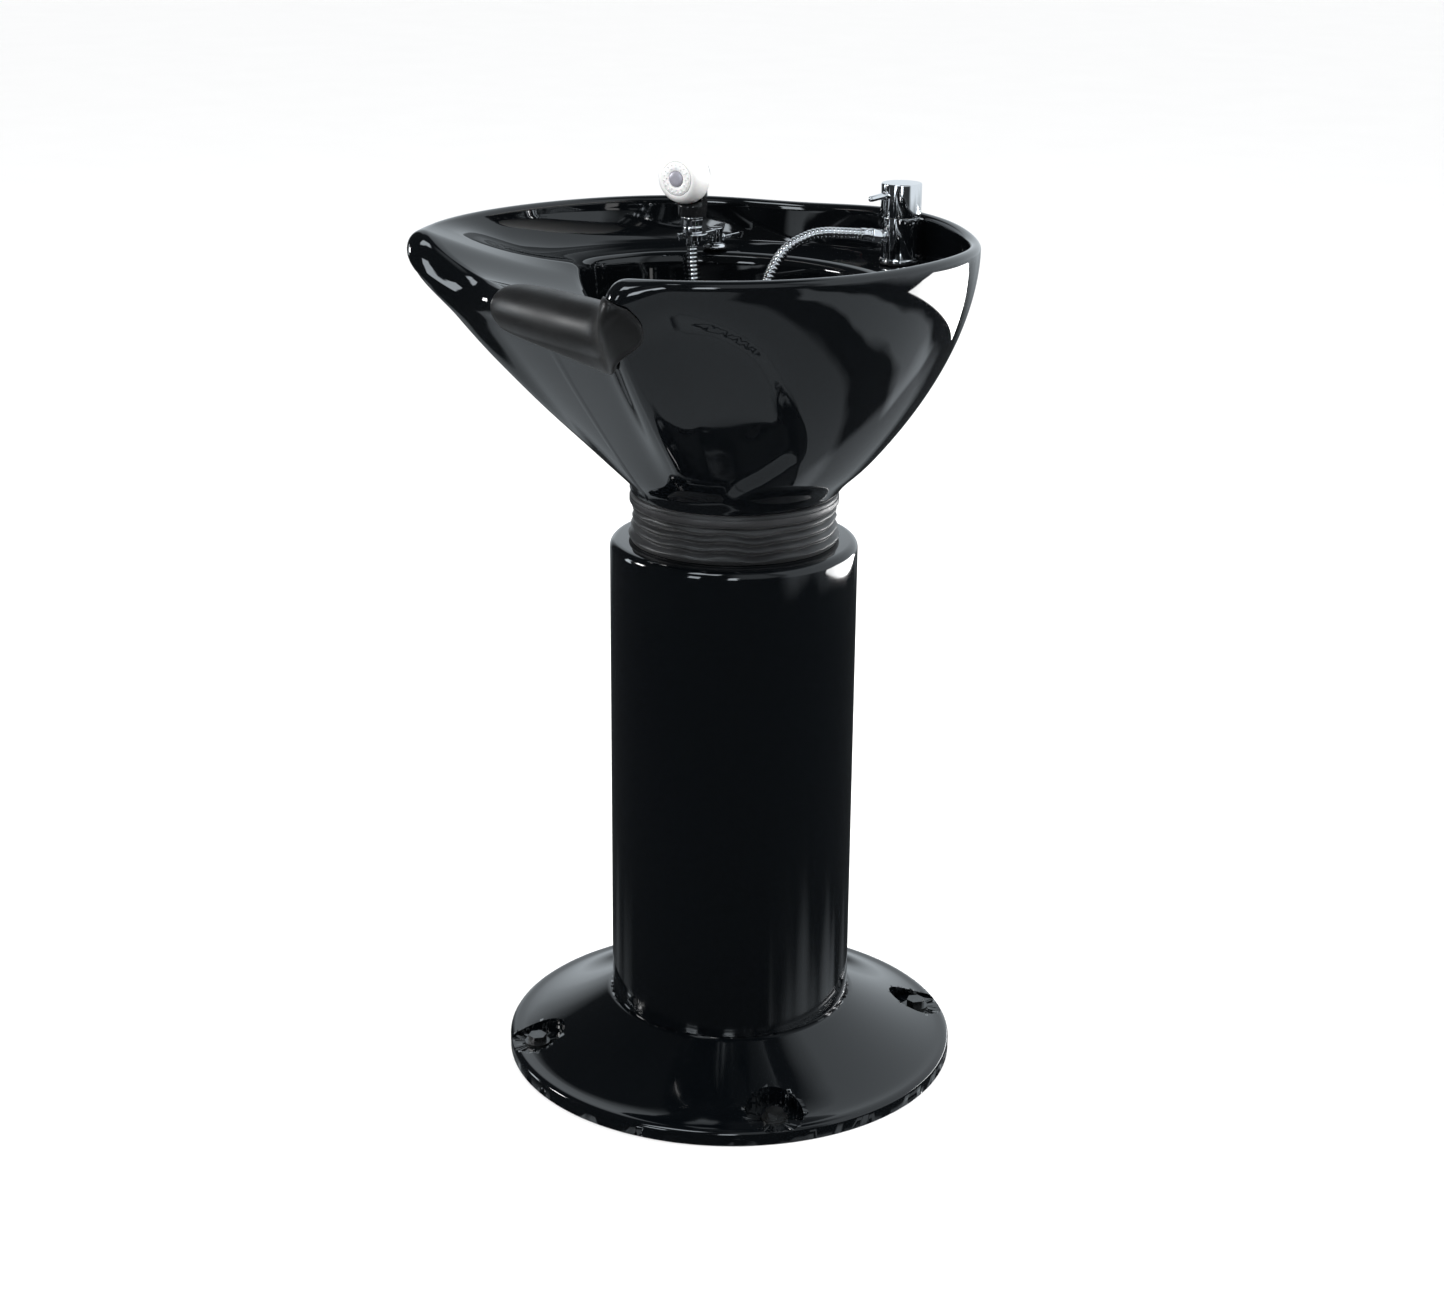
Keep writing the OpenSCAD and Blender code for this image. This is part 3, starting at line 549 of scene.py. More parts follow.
GLAZE, LACQUER, RUBBER, BELLOWS = glaze(), lacquer(), rubber(), bellows_rubber()
CHROME, HOSE, WHITE, GREY = chrome(), hose_metal(), white_plastic(), grey_plastic()
HOUSING, BRASS, PAINT, BRAID = gloss_plastic(), brass(), frame_paint(), braid()
# The second zinc is a darker copy, for the anchor nuts and washers down in the foot's pockets.
ZINC, DARKER_ZINC = zinc("zinc_steel", 1), zinc("darker_zinc", 0.22)
BLACK_PLASTIC = plain_plastic("black_plastic", (0.012, 0.012, 0.013), (0.026, 0.026, 0.028), 0.4)
PIPE_WHITE = plain_plastic("pipe_white", (0.62, 0.62, 0.6), (0.76, 0.76, 0.74), 0.38)

CARRIED = {
    ZINC: ["floor_plate", "head_bolts", "pivot_ears", "pivot_bolts", "pivot_nuts", "cradle_bolts",
           "waste_nut", "mixer_clamp_plate", "holder_nut", "mixer_spindle", "lever_screw",
           "bellows_lower_ring"],
    DARKER_ZINC: ["anchor_nuts", "anchor_washers"],
    PAINT: ["uprights", "head_plate", "cradle"],
    BRASS: ["friction_washers", "mixer_shank", "mixer_nut", "cartridge_nut", "mixer_turret"],
    RUBBER: ["cradle_pads", "waste_gasket", "mixer_gasket", "holder_gasket"],
    BLACK_PLASTIC: ["waste_body", "waste_socket"],
    PIPE_WHITE: ["mixer_cartridge"],
    CHROME: ["supply_unions"],
}


def dress_carried_nodes():
    for material, names in CARRIED.items():
        for name in names:
            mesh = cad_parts[name].data
            mesh.materials.clear()
            mesh.materials.append(material)


dress_carried_nodes()


# ---- bowl
HALF_W, BACK, FRONT, AHEAD, SKEW = 271, 283, 280, 44, 26
NOTCH_DROP, NOTCH_DEPTH, NOTCH_HALF_W, NOTCH_FADE = 49, 102, 75, 100
SAG, SAG_AT, SAG_WIDTH = 5, 146, 20
LIP_R, FRONT_LIP_R, LIP_UNDER, LIP_BACK_END, LIP_FRONT_END = 6.5, 18, 46, 178, 116
NECK_R, NECK_Z, RIM_Z = 111, 650, 925
LEDGE_Z, WELL_Z, WALL = 872, 704, 11
WELL_AHEAD, WELL_HALF_W, WELL_FRONT, WELL_REAR, DRAIN_R = 11, 200, 100, 163, 20
NECK_END_Z, NECK_OUT_R, NECK_IN_R, UNDER_Z, UNDER_R = 636.8, 107, 97, 682, 80


# An angle a runs from straight ahead, where the neck cut-out is, towards the right
def notch(side):
    """How far the neck cut-out reaches at a distance from its middle, from 1 to 0."""
    return 1 - smooth(unit_share((abs(side) - NOTCH_HALF_W) / NOTCH_FADE) ** 1.5)


def crest(a):
    """The highest line of the rim, with a slight sag on both sides of its rear."""
    side = HALF_W * sin(a)
    n = notch(side) if cos(a) > 0 else 0
    reach = FRONT - SKEW * sin(a) if cos(a) > 0 else BACK
    ahead = AHEAD + reach * cos(a) - NOTCH_DEPTH * n * (1 - 0.2 * (side / 100) ** 2)
    from_front = degrees(acos(max(-1, min(1, cos(a)))))
    sag = SAG * exp(-((from_front - SAG_AT) / SAG_WIDTH) ** 2)
    return plan(ahead, side, RIM_Z - NOTCH_DROP * n - sag)


def outward(a):
    return unit([sin(a) / HALF_W, -cos(a) / FRONT, 0])


def front_share(a):
    return smooth((cos(a) - 0.3) / 0.5)


def roll(a, turn):
    """A point on the round edge of the rim, turned up from level."""
    r = mix(LIP_R, FRONT_LIP_R, smooth((cos(a) - 0.66) / 0.16))
    return crest(a) + r * (outward(a) * cos(turn) + np.array([0, 0, sin(turn) - 1]))


def roll_start(a):
    return -radians(LIP_UNDER) * smooth(cos(a) / 0.7)


def roll_end(a):
    return radians(mix(LIP_BACK_END, LIP_FRONT_END, front_share(a)))


def skin(a, t, inset=0.0):
    """The outside of the bowl, t up from its neck (0) to its rim (1)."""
    top, low = roll(a, roll_start(a)), on_ring(NECK_R, a, NECK_Z)
    power = mix(1.85, 1.1, smooth((cos(a) + 0.45) / 1.1))
    flare = 1 - 0.42 * exp(-(t / 0.07) ** 2)
    p = low + (top - low) * (1 - (1 - t) ** power) * flare - outward(a) * inset
    p[2] = mix(NECK_Z, top[2], t)
    return p


# The sculpted crease on each side, where the full rear of the bowl laps the scooped front:
# its bearing from the front (degrees) at each share of the height
CREASE_T = [0, 0.08, 0.12, 0.17, 0.23, 0.28, 0.34, 0.42, 0.53, 0.62, 0.7, 0.76, 0.81, 0.88, 0.93, 1]
CREASE_A = [55, 58, 63, 71, 78, 82, 82.5, 80.5, 77, 74, 71, 68.5, 65, 59, 52, 42]
SCOOP_DEPTH = 6.8


def scoop(points, angles, shares):
    """Pushes the skin in on the front side of each crease."""
    ts = np.linspace(0, 1, 81)
    line_a = np.interp(ts, CREASE_T, CREASE_A)
    for mirror in (1, -1):
        line = np.array([skin(mirror * radians(a), t) for a, t in zip(line_a, ts)])
        for k, (p, a, t) in enumerate(zip(points, angles, shares)):
            turn = (degrees(a) + 180) % 360 - 180
            if turn * mirror <= 0 or abs(turn) > 100:
                continue
            here = np.interp(t, ts, line_a)
            if abs(turn) >= here + 0.01:
                continue
            d = np.linalg.norm(line - p, axis=1).min()
            along = smooth((0.97 - t) / 0.16) * smooth(t / 0.05)
            depth = SCOOP_DEPTH * along * smooth((d + 1.5) / 22) * (1 - 0.85 * smooth((d - 30) / 110))
            points[k] = p - outward(a) * depth * (1 - 0.3 * t)
    return points


def well_edge(a):
    if cos(a) > 0:
        side = WELL_HALF_W * lobe(sin(a), 3)
        dip = 45 * max(0, 1 - (side / 165) ** 2)
        return plan(WELL_AHEAD + WELL_FRONT * lobe(cos(a), 3), side,
                    LEDGE_Z - dip * smooth(cos(a) / 0.4))
    return plan(WELL_AHEAD + WELL_REAR * cos(a), WELL_HALF_W * sin(a), LEDGE_Z)


def wall_foot(a):
    ledge = plan(AHEAD + (BACK - 9) * lobe(cos(a), 2.2), (HALF_W - 29) * lobe(sin(a), 2.2),
                 LEDGE_Z + 2)
    slope = well_edge(a) + outward(a) * 10 + np.array([0, 0, 3])
    return mix(ledge, slope, smooth((cos(a) + 0.15) / 0.75))


def inner_wall(a, t):
    start, end, w = roll(a, roll_end(a)), wall_foot(a), front_share(a)
    across = mix(1 - cos(pi / 2 * t), t, w)
    down = mix(sin(pi / 2 * t), mix(t, sin(pi / 2 * t), 0.35), w)
    p = start + (end - start) * across
    p[2] = mix(start[2], end[2], down)
    return p


def well(a, turn, gap=0.0, drop=0.0):
    edge = well_edge(a) - np.array([0, 0, 8])
    hole = on_ring(DRAIN_R, a, WELL_Z)
    power = 2 / 2.4
    p = hole + (edge - hole) * max(0.0, cos(turn)) ** power + outward(a) * gap
    p[2] = edge[2] + (hole[2] - edge[2]) * sin(turn) ** power - drop
    return p


def eased(points, rounds):
    """Softens a run of points, with its two ends held."""
    p = np.array(points)
    for _ in range(rounds):
        p[1:-1] = p[1:-1] * 0.5 + (p[:-2] + p[2:]) * 0.25
    return p


def bowl_section(a):
    """The visible section from the neck over the rim to the waste, and back under the well."""
    neck = [on_ring(NECK_OUT_R, a, z) for z in (NECK_END_Z, 642, 648)]
    shares = np.linspace(0, 1, 46)[1:-1] ** 1.15
    outer = [skin(a, t) for t in shares]
    lip = [roll(a, mix(roll_start(a), roll_end(a), i / 16)) for i in range(17)]
    wall = [inner_wall(a, t) for t in np.linspace(0, 1, 15)[1:]]
    edge, out = well_edge(a), outward(a)
    shelf = [wall[-1] + (edge + out * 6 - wall[-1]) * f for f in (0.25, 0.5, 0.75, 1)]
    nose = [edge + out * 3 - np.array([0, 0, 1]), edge + out * 0.7 - np.array([0, 0, 4])]
    bowl = [well(a, radians(t)) for t in
            (0, 3, 7, 12, 18, 24, 31, 38, 45, 52, 59, 66, 72, 77, 81, 85, 88, 90)]
    inside = eased(wall + shelf + nose + bowl, 2)
    under = [on_ring(DRAIN_R, a, UNDER_Z), on_ring(UNDER_R, a, UNDER_Z)]
    under += [well(a, radians(t), WALL, 3) for t in (58, 42, 26, 12)]
    under.append(edge + out * WALL - np.array([0, 0, 26]))
    top = mix(0.785, 0.87, front_share(a))
    under += [skin(a, t, WALL) for t in (top, 0.63, 0.45, 0.3, 0.16, 0.07)]
    under += [on_ring(NECK_IN_R, a, z) for z in (NECK_Z, NECK_END_Z)]
    return neck, outer, lip, list(inside), under, shares


def build_bowl():
    turns = np.concatenate([np.arange(-48, 48, 1.0), np.linspace(48, 312, 177)[:-1]])
    rows, angles, shares = [], [], []
    for turn in turns:
        a = radians(turn)
        neck, outer, lip, inside, under, ts = bowl_section(a)
        rows.append(neck + outer + lip + inside + under)
        angles += [a] * len(outer)
        shares += list(ts)
    grid = np.array([np.array(row) for row in rows])
    outside = slice(len(neck), len(neck) + len(outer))
    skin_points = grid[:, outside].reshape(-1, 3)
    grid[:, outside] = scoop(skin_points, angles, shares).reshape(len(turns), len(outer), 3)
    faces = grid_faces(len(turns), grid.shape[1], wrap_rows=True)
    obj = mesh_piece("ceramic_bowl", grid.reshape(-1, 3), faces, GLAZE, "bowl", ["bowl_shell"])


build_bowl()


# ---- neck rest
PAD_FAR, PAD_NEAR, PAD_LEAN = -15, 43, 21
PAD_LOW_FAR, PAD_LOW_NEAR = 0.98, 0.79
PAD_FIRST_TURN, PAD_GAP, PAD_SKIRT, PAD_SWELL_FAR, PAD_SWELL_NEAR = 130, 1.4, 2.4, 7.8, 10.3


def pad_section(u, thick):
    """One closed ring of the pad; u runs from its far end (-1) to its near end (1)."""
    share = (u + 1) / 2
    low = mix(PAD_LOW_FAR, PAD_LOW_NEAR, share ** 1.3)

    def point(row, off):
        v = 0.5 + (row - 0.5) * (1 - abs(u) ** (6 if u < 0 else 7)) ** 0.25
        a = radians(mix(PAD_FAR, PAD_NEAR - PAD_LEAN * (1 - v) ** 2.6, share))
        turn = mix(radians(PAD_FIRST_TURN), roll_start(a), v / 0.55) if v < 0.55 else roll_start(a)
        base = roll(a, turn) if v < 0.55 else skin(a, mix(1, low, (v - 0.55) / 0.45))
        return base + (outward(a) * cos(turn) + np.array([0, 0, sin(turn)])) * off

    swell = mix(PAD_SWELL_FAR, PAD_SWELL_NEAR, share) * max(0, 1 - abs(u) ** (5 if u < 0 else 3.4)) ** 0.5
    over = [point(v, PAD_SKIRT + swell * max(0, 1 - abs(2 * v - 1) ** 5) ** 0.5)
            for v in np.linspace(0, 1, thick)]
    under = [point(v, PAD_GAP) for v in np.linspace(1, 0, thick)]
    return over + under


def build_neck_rest():
    us = 0.998 * np.sin(np.linspace(-pi / 2, pi / 2, 61))
    rings = np.array([pad_section(u, 33) for u in us])
    faces = capped_faces(len(us), rings.shape[1])
    obj = mesh_piece("neck_rest_pad", rings.reshape(-1, 3), faces, RUBBER, "bowl", ["neck_rest"])


build_neck_rest()


# ---- column, bellows and foot
COLUMN_R, COLUMN_TOP, FOOT_R, FOOT_H, FOOT_RIM = 133, 597, 250, 68, 18
BOLT_CIRCLE, BOLT_TURN, POCKET_R, POCKET_Z = 222, -22.5, 31, 15


def build_column():
    edge = [(COLUMN_R - 9 + 9 * cos(a), COLUMN_TOP - 9 + 9 * sin(a))
            for a in np.linspace(0, pi / 2, 9)]
    outline = ([(COLUMN_R - 5, 6.4), (COLUMN_R, 6.4)]
               + [(COLUMN_R, z) for z in np.linspace(60, 560, 9)] + edge
               + raised(COLUMN_TOP, [(104.4, 0), (104, -0.6), (104, -5), (COLUMN_R - 9, -5),
                                     (COLUMN_R - 5, -9)]))
    obj = lathe("column_tube", outline, LACQUER, "pedestal", ["column_shell"], n=160, sharp=35)


def foot_top(t):
    return mix(FOOT_R - 12, COLUMN_R + 3, t), mix(FOOT_RIM, FOOT_H - 1, t ** 1.25)


def build_foot():
    rim = [(FOOT_R - 8 + 8 * cos(a), FOOT_RIM - 5 + 5 * sin(a)) for a in np.linspace(0, pi / 2, 7)]
    outline = ([(COLUMN_R + 0.4, 6.2), (FOOT_R - 22, 6.2), (FOOT_R - 6, 6.2), (FOOT_R - 6, 0.6),
                (FOOT_R - 5.4, 0), (FOOT_R - 0.8, 0), (FOOT_R, 0.8)] + rim
               + [foot_top(i / 24) for i in range(25)] + [(COLUMN_R + 0.4, FOOT_H - 1)])
    foot = lathe("foot_dome", outline, LACQUER, n=192)
    for k in range(4):
        a = radians(BOLT_TURN + 90 * k)
        place = at(BOLT_CIRCLE * cos(a), BOLT_CIRCLE * sin(a), 0)
        pocket = lathe("pocket", [(0, POCKET_Z), (POCKET_R, POCKET_Z), (POCKET_R, 80), (0, 80)],
                       LACQUER, n=72, place=place)
        cut(foot, pocket)
        hole = lathe("hole", [(0, 0), (7, 0), (7, 40), (0, 40)], LACQUER, n=32, place=place)
        cut(foot, hole)
    bevel(foot, 1.6, angle=40)
    foot.data.shade_smooth()
    foot.data.set_sharp_from_angle(angle=radians(40))
    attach(foot, "pedestal")
    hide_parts("foot_cover")


def fold_r(t):
    return NECK_R - 6.5 + 4.5 * (1 - t) ** 3 + 4.8 * abs(sin(pi * 4 * t)) ** 0.8


def build_bellows():
    """Folded rubber with soft wrinkles, gathered a little unevenly round the neck."""
    rng = np.random.default_rng(7)
    waves = [(rng.integers(2, 15), rng.uniform(0, 2 * pi), rng.uniform(3, 26)) for _ in range(26)]
    cuff_z, low = NECK_Z - 14, COLUMN_TOP + 1.2
    profile = raised(COLUMN_TOP, [(101.2, -8), (103.6, -8), (103.6, 0.4), (110.6, 0.5), (110.9, 1.3)])
    profile += [(fold_r(t) + 0.6, mix(low, cuff_z, t)) for t in np.linspace(0.02, 1, 60)]
    profile += raised(cuff_z, [(NECK_R - 0.6, 0.6), (NECK_R, 2), (NECK_R, 11.6), (NECK_R - 0.7, 13.4),
                               (NECK_R - 3.4, 13.4), (NECK_R - 3.4, -1)])
    profile += [(fold_r(t) - 1.6, mix(low, cuff_z, t)) for t in np.linspace(0.98, 0.04, 40)]
    profile += [(101.2, COLUMN_TOP + 1.6)]
    n = 288
    verts, faces = lathe_data(profile, n)
    for v in verts:
        turn, r = atan2(v[1], v[0]), hypot(v[0], v[1])
        loose = smooth((v[2] - low) / 7) * smooth((cuff_z + 1 - v[2]) / 6)
        ripple = sum(sin(m * turn + p + v[2] / s * 2) for m, p, s in waves) / 9
        sag = sum(sin(m * turn + 2 * p) for m, p, s in waves[:9]) / 5
        r2 = r - loose * max(0, 1.1 * ripple + 0.6)
        v[2] += loose * 1.5 * sag
        v[0], v[1] = v[0] * r2 / r, v[1] * r2 / r
    obj = mesh_piece("rubber_bellows", verts, faces, BELLOWS)
    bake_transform(obj)
    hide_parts("bellows")
    strap = raised(cuff_z, [(NECK_R + 0.05, 3), (NECK_R + 0.9, 3), (NECK_R + 0.9, 9),
                            (NECK_R + 0.05, 9)])
    band = lathe("bellows_band", rounded(strap, 0.3, 2), BLACK_PLASTIC, n=144)
    lug = mesh_piece("lug", *box_data((-6, NECK_R, cuff_z + 2.5), (6, NECK_R + 3, cuff_z + 9.5)),
                     BLACK_PLASTIC)
    bevel(lug, 0.8)
    obj = join("clamp_band", [band, lug], BLACK_PLASTIC, "bowl", ["bellows_clamp"])


def build_drain_hose():
    """The corrugated waste hose inside the column."""
    z_low, z_high, bore_r, valley_r, crown_r, pitch = 72, WELL_Z - 71, 18, 19.5, 21.5, 6.4
    count = round((z_high - z_low) / pitch)
    steps = count * 6
    outline = [(bore_r, z_low)]
    for t in (i / steps for i in range(steps + 1)):
        rise = 0.5 - 0.5 * cos(2 * pi * count * t)
        outline.append((mix(valley_r, crown_r, rise), mix(z_low, z_high, t)))
    outline.append((bore_r, z_high))
    obj = lathe("drain_hose", outline, PIPE_WHITE, n=48)
    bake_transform(obj)
    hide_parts("waste_hose")


build_column()
build_foot()
build_bellows()
build_drain_hose()


# ---- sweeps
def sweep(name, path, radius, material):
    """A closed tube round a path; radius is a number or a list, one for each point."""
    sides = 16
    _, a, b = turned_frames(path)
    r = np.broadcast_to(np.asarray(radius, float), (len(path),))
    turns = np.linspace(0, 2 * pi, sides, endpoint=False)
    verts = np.array([p + q * (n * cos(w) + m * sin(w))
                      for p, n, m, q in zip(path, a, b, r) for w in turns])
    return mesh_piece(name, verts, capped_faces(len(path), sides), material)


SUPPLY_X, SUPPLY_Y, SUPPLY_R, MIXER_X, MIXER_Y = 24, 74, 5, 14, 205
MIXER_R, SEAM_Z, TOP_Z, SEAT_Z = 20.2, 925, 960, LEDGE_Z + 2.2
LEVER_Z, LEVER_LEAN, LEVER_R, LEVER_LONG = 949.5, 97, 3.15, 31


def supply_route(side):
    """The hot hose has side -1 and the cold hose side 1."""
    to_well = [(SUPPLY_X, SUPPLY_Y, 62), (SUPPLY_X, 76, 120), (SUPPLY_X, 78, 240), (SUPPLY_X, 79, 360),
               (SUPPLY_X, 80, 480), (23, 80, 560), (22, 81, 610), (21, 84, 640), (20, 90, 661),
               (20, 100, 679), (20, 112, 694), (19, 126, 711), (18, 140, 730), (17, 152, 751),
               (15, 164, 775)]
    to_mixer = [(11, 180, 799), (8, 196, 816), (7, MIXER_Y, 827), (7, MIXER_Y, 831.8)]
    return ([[side * x, y, z] for x, y, z in to_well]
            + [[MIXER_X + side * x, y, z] for x, y, z in to_mixer])


def build_supplies():
    for side, name, node in ((-1, "hot_braided_hose", "hot_supply_hose"),
                             (1, "cold_braided_hose", "cold_supply_hose")):
        route = spline(supply_route(side), 8)
        obj = sweep(name, route, SUPPLY_R, BRAID)
        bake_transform(obj)
        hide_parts(node)


build_supplies()


# ---- shower hose
OUTLET_Z = 901
OUTLET_DIR = unit([-0.2, -0.97, 0.14])
HANDSET = (-155, 50)
HOSE_R = 6


def hose_route():
    start = np.array([MIXER_X, MIXER_Y, OUTLET_Z]) + 48.8 * OUTLET_DIR
    loops = []
    for i in range(49):
        t = i / 48
        a, r = radians(mix(205, 815, t)), mix(60, 81, t)
        loops.append([r * cos(a), 8 + r * sin(a), 713.8 + 3 * t + mix(4.2, 11.2, t) * sin(a) ** 2])
    return ([start, [2, 148, 909], [-2, 136, 910], [-6, 122, 911], [-10, 108, 910], [-13, 95, 906],
             [-16, 82, 900], [-18, 71, 891], [-19, 61, 878], [-20, 53, 860], [-20, 45, 835],
             [-24, 36, 812], [-31, 26, 787], [-40, 14, 762], [-48, 2, 741], [-53, -8, 726]]
            + loops
            + [[-38, 84, 729], [-70, 76, 739], [-98, 69, 755], [-122, 61, 777], [-140, 55, 803],
               [-150, 51, 832], [-154, 50, 858], [-155, 50, 872], [-155, 50, 882.8]])


def build_shower_hose():
    """The hose with its stripwound ribs: each turn of the strip stands proud of a dark groove."""
    pitch = 4.6
    path = spline(hose_route(), pitch / 8)
    length = np.linalg.norm(np.diff(path, axis=0), axis=1).sum()
    run = np.linspace(0, length, len(path))
    phase = run / pitch % 1
    rib = HOSE_R - 0.95 * np.clip(np.abs(phase - 0.5) * 2 - 0.45, 0, 1) ** 1.3 / 0.46
    obj = sweep("shower_hose_ribbed", path, rib, HOSE)
    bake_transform(obj)
    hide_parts("shower_hose")


build_shower_hose()


# ---- mixer
AT_MIXER = at(MIXER_X, MIXER_Y, 0)
ALONG_OUTLET = facing((MIXER_X, MIXER_Y, OUTLET_Z), OUTLET_DIR)
NUT_R, NUT_NEAR, NUT_FAR = 8.4, 24.6, 35.2


def build_mixer():
    base = rounded(raised(SEAT_Z, [(9, 2), (MIXER_R + 1.4, 2), (MIXER_R + 1.4, 4.5),
                                   (MIXER_R + 0.4, 6), (9, 6)]), 0.7)
    lathe("mixer_foot_ring", base, CHROME, "bowl", ["mixer_base_ring"], place=AT_MIXER)
    body = rounded([(MIXER_R - 6, SEAT_Z + 6), (MIXER_R, SEAT_Z + 6), (MIXER_R, SEAM_Z - 1),
                    (16.4, SEAM_Z - 1), (16.4, SEAT_Z + 14), (MIXER_R - 6, SEAT_Z + 14)], 0.6, 4)
    lathe("mixer_barrel", body, CHROME, "bowl", ["mixer_body"], place=AT_MIXER, n=128)
    r = MIXER_R + 1.5
    cap = raised(SEAM_Z, [(0, 17), (r - 1, 17), (r - 1, 0), (r, 0)]) + [(r, TOP_Z), (0, TOP_Z)]
    cap = rounded(cap, 1.5, 6, keep=(1, 2))
    cap_obj = lathe("mixer_cap_shell", cap, CHROME, place=AT_MIXER, n=128)
    core = raised(SEAM_Z, [(4.05, 2), (9, 2), (9, 17.5), (4.05, 17.5)])
    core = lathe("core", rounded(core, 0.5, 2), CHROME, place=AT_MIXER)
    join("mixer_cap_piece", [cap_obj, core], CHROME, "mixer_lever", ["mixer_cap"])
    lever = [(0, -1), (3.4, -1), (3.5, 8), (3.3, 22), (LEVER_R, LEVER_LONG)]
    lever += [(LEVER_R * cos(a), LEVER_LONG + 3.2 * sin(a)) for a in np.linspace(0.25, pi / 2, 8)]
    collar = rounded([(3.4, 10.2), (4.6, 10.2), (4.6, 13), (3.4, 13.4)], 0.5, 3)
    place = AT_MIXER @ at(0, -10, LEVER_Z) @ Matrix.Rotation(radians(LEVER_LEAN), 4, "X")
    stick = lathe("stick", lever, CHROME, closed=False, n=48, place=place)
    boss = lathe("boss", collar, CHROME, n=48, place=place)
    join("mixer_pin_lever", [stick, boss], CHROME, "mixer_lever", ["mixer_lever"])


def build_outlet():
    spigot = rounded([(3, 16.6), (5, 16.6), (5, MIXER_R + 0.3), (6.6, MIXER_R + 0.5),
                      (6.6, MIXER_R + 2.2), (5, MIXER_R + 2.4), (5, 29.8), (3, 29.8)], 0.4, 3)
    lathe("hose_spigot", spigot, CHROME, "bowl", ["hose_outlet"], place=ALONG_OUTLET, n=64)
    corners = [(NUT_R * cos(radians(60 * k)), NUT_R * sin(radians(60 * k))) for k in range(6)]
    nut = mesh_piece("hex_nut", *prism_data(corners, NUT_NEAR, NUT_FAR), CHROME,
                     place=ALONG_OUTLET)
    bevel(nut, 0.9)
    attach(nut, "bowl")
    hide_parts("outlet_nut")
    sleeve = rounded([(3.8, 35.6), (6.9, 35.6), (6.9, 38), (6.5, 38.6), (6.5, 41), (6.9, 41.6),
                      (6.9, 46.6), (6.3, 48.6), (3.8, 48.6)], 0.5, 3)
    lathe("hose_sleeve", sleeve, CHROME, "bowl", ["outlet_ferrule"], place=ALONG_OUTLET, n=64)


build_mixer()
build_outlet()


# ---- hand shower
HEAD_Z, FACE_TURN, FACE_UP, SPRAY_R = 960, 24, -2, 29
# Each row of nozzles: how many, its radius, and how far round it starts, in steps
NOZZLE_ROWS = ((12, 12, 0), (18, 15.4, 0.5))
AT_HANDSET = at(*HANDSET, 0)
ALONG_FACE = (at(*HANDSET, HEAD_Z) @ Matrix.Rotation(radians(FACE_TURN), 4, "Z")
              @ Matrix.Rotation(radians(90 - FACE_UP), 4, "X"))


def build_grip():
    ferrule = rounded([(0, 883), (6.6, 883), (7.4, 885), (7.4, 895), (8.4, 896), (8.4, 900),
                       (0, 900)], 0.5, 3)
    lathe("shower_ferrule", ferrule, CHROME, "handset", ["handset_ferrule"], place=AT_HANDSET, n=64)
    collar = rounded([(8.5, 897.4), (10.6, 897.4), (11, 898.6), (11, 903.6), (10.5, 904.2),
                      (10.5, 904.9), (11, 905.5), (11, 911.5), (12.4, 912.5), (12.4, 914.8),
                      (8.5, 914.8)], 0.45, 3)
    lathe("shower_collar", collar, CHROME, "handset", ["handset_collar"], place=AT_HANDSET)
    stem = [(0, 915)] + rounded([(14.6, 915), (15.6, 917), (16.4, 925), (16.6, 938), (16, 950),
                                 (14, 960), (0, 964)], 1.5, 4)[:-1] + [(0, 964)]
    stem_obj = lathe("stem", stem, HOUSING, place=AT_HANDSET, closed=False)
    cut(stem_obj, lathe("tool", [(0, 5.8), (31, 5.8), (31, 26), (0, 26)], HOUSING, closed=False,
                        place=ALONG_FACE, n=64))
    back = [(0, -16), (6, -15.6), (12, -14), (16, -10.6), (18.6, -6), (20.5, 0), (20.5, 5.2),
            (20, 5.8), (0, 5.8)]
    back_obj = lathe("back", back, HOUSING, place=ALONG_FACE, closed=False)
    shell = join("shower_housing", [stem_obj, back_obj], HOUSING, "handset", ["handset_body"])


def build_spray_head():
    r = SPRAY_R
    dome = ([(0, 6), (23.4, 6), (24.4, 6.3), (27.4, 8.2), (28.7, 10.4), (r, 12.4), (r, 15)]
            + [(r - 10 + 10 * cos(a), 15 + 17.8 * sin(a)) for a in np.linspace(0.08, 1.45, 18)]
            + [(19, 32.8), (18.6, 32.8), (18.2, 32.4), (18.2, 31.4), (0, 31.4)])
    head = lathe("shower_head_shell", dome, WHITE, "handset", ["spray_shell"], closed=False,
                 place=ALONG_FACE, n=128)
    face = [(8.75, 31.8), (18, 31.8), (18, 33), (17.6, 33.5), (12, 33.8), (9.2, 33.8), (8.75, 33.4)]
    plate = lathe("plate", face, WHITE, place=ALONG_FACE)
    nub = [(0.32, 33.5), (0.95, 33.5), (0.8, 34.4), (0.45, 34.5), (0.34, 34)]
    nozzles = []
    for count, row_r, shift in NOZZLE_ROWS:
        for k in range(count):
            a = 2 * pi * (k + shift) / count
            spot = ALONG_FACE @ at(row_r * cos(a), row_r * sin(a), 0)
            nozzles.append(lathe("nub", nub, WHITE, place=spot, n=10))
    plate = join("spray_face", [plate] + nozzles, WHITE, "handset", ["spray_plate"])
    badge = lathe("blank_badge", [(0, 32.8), (8.5, 32.8), (8.5, 34), (8.2, 34.3), (4, 34.5),
                                  (0, 34.55)], GREY, "handset", ["spray_badge"], closed=False,
                  place=ALONG_FACE, n=64)


build_grip()
build_spray_head()


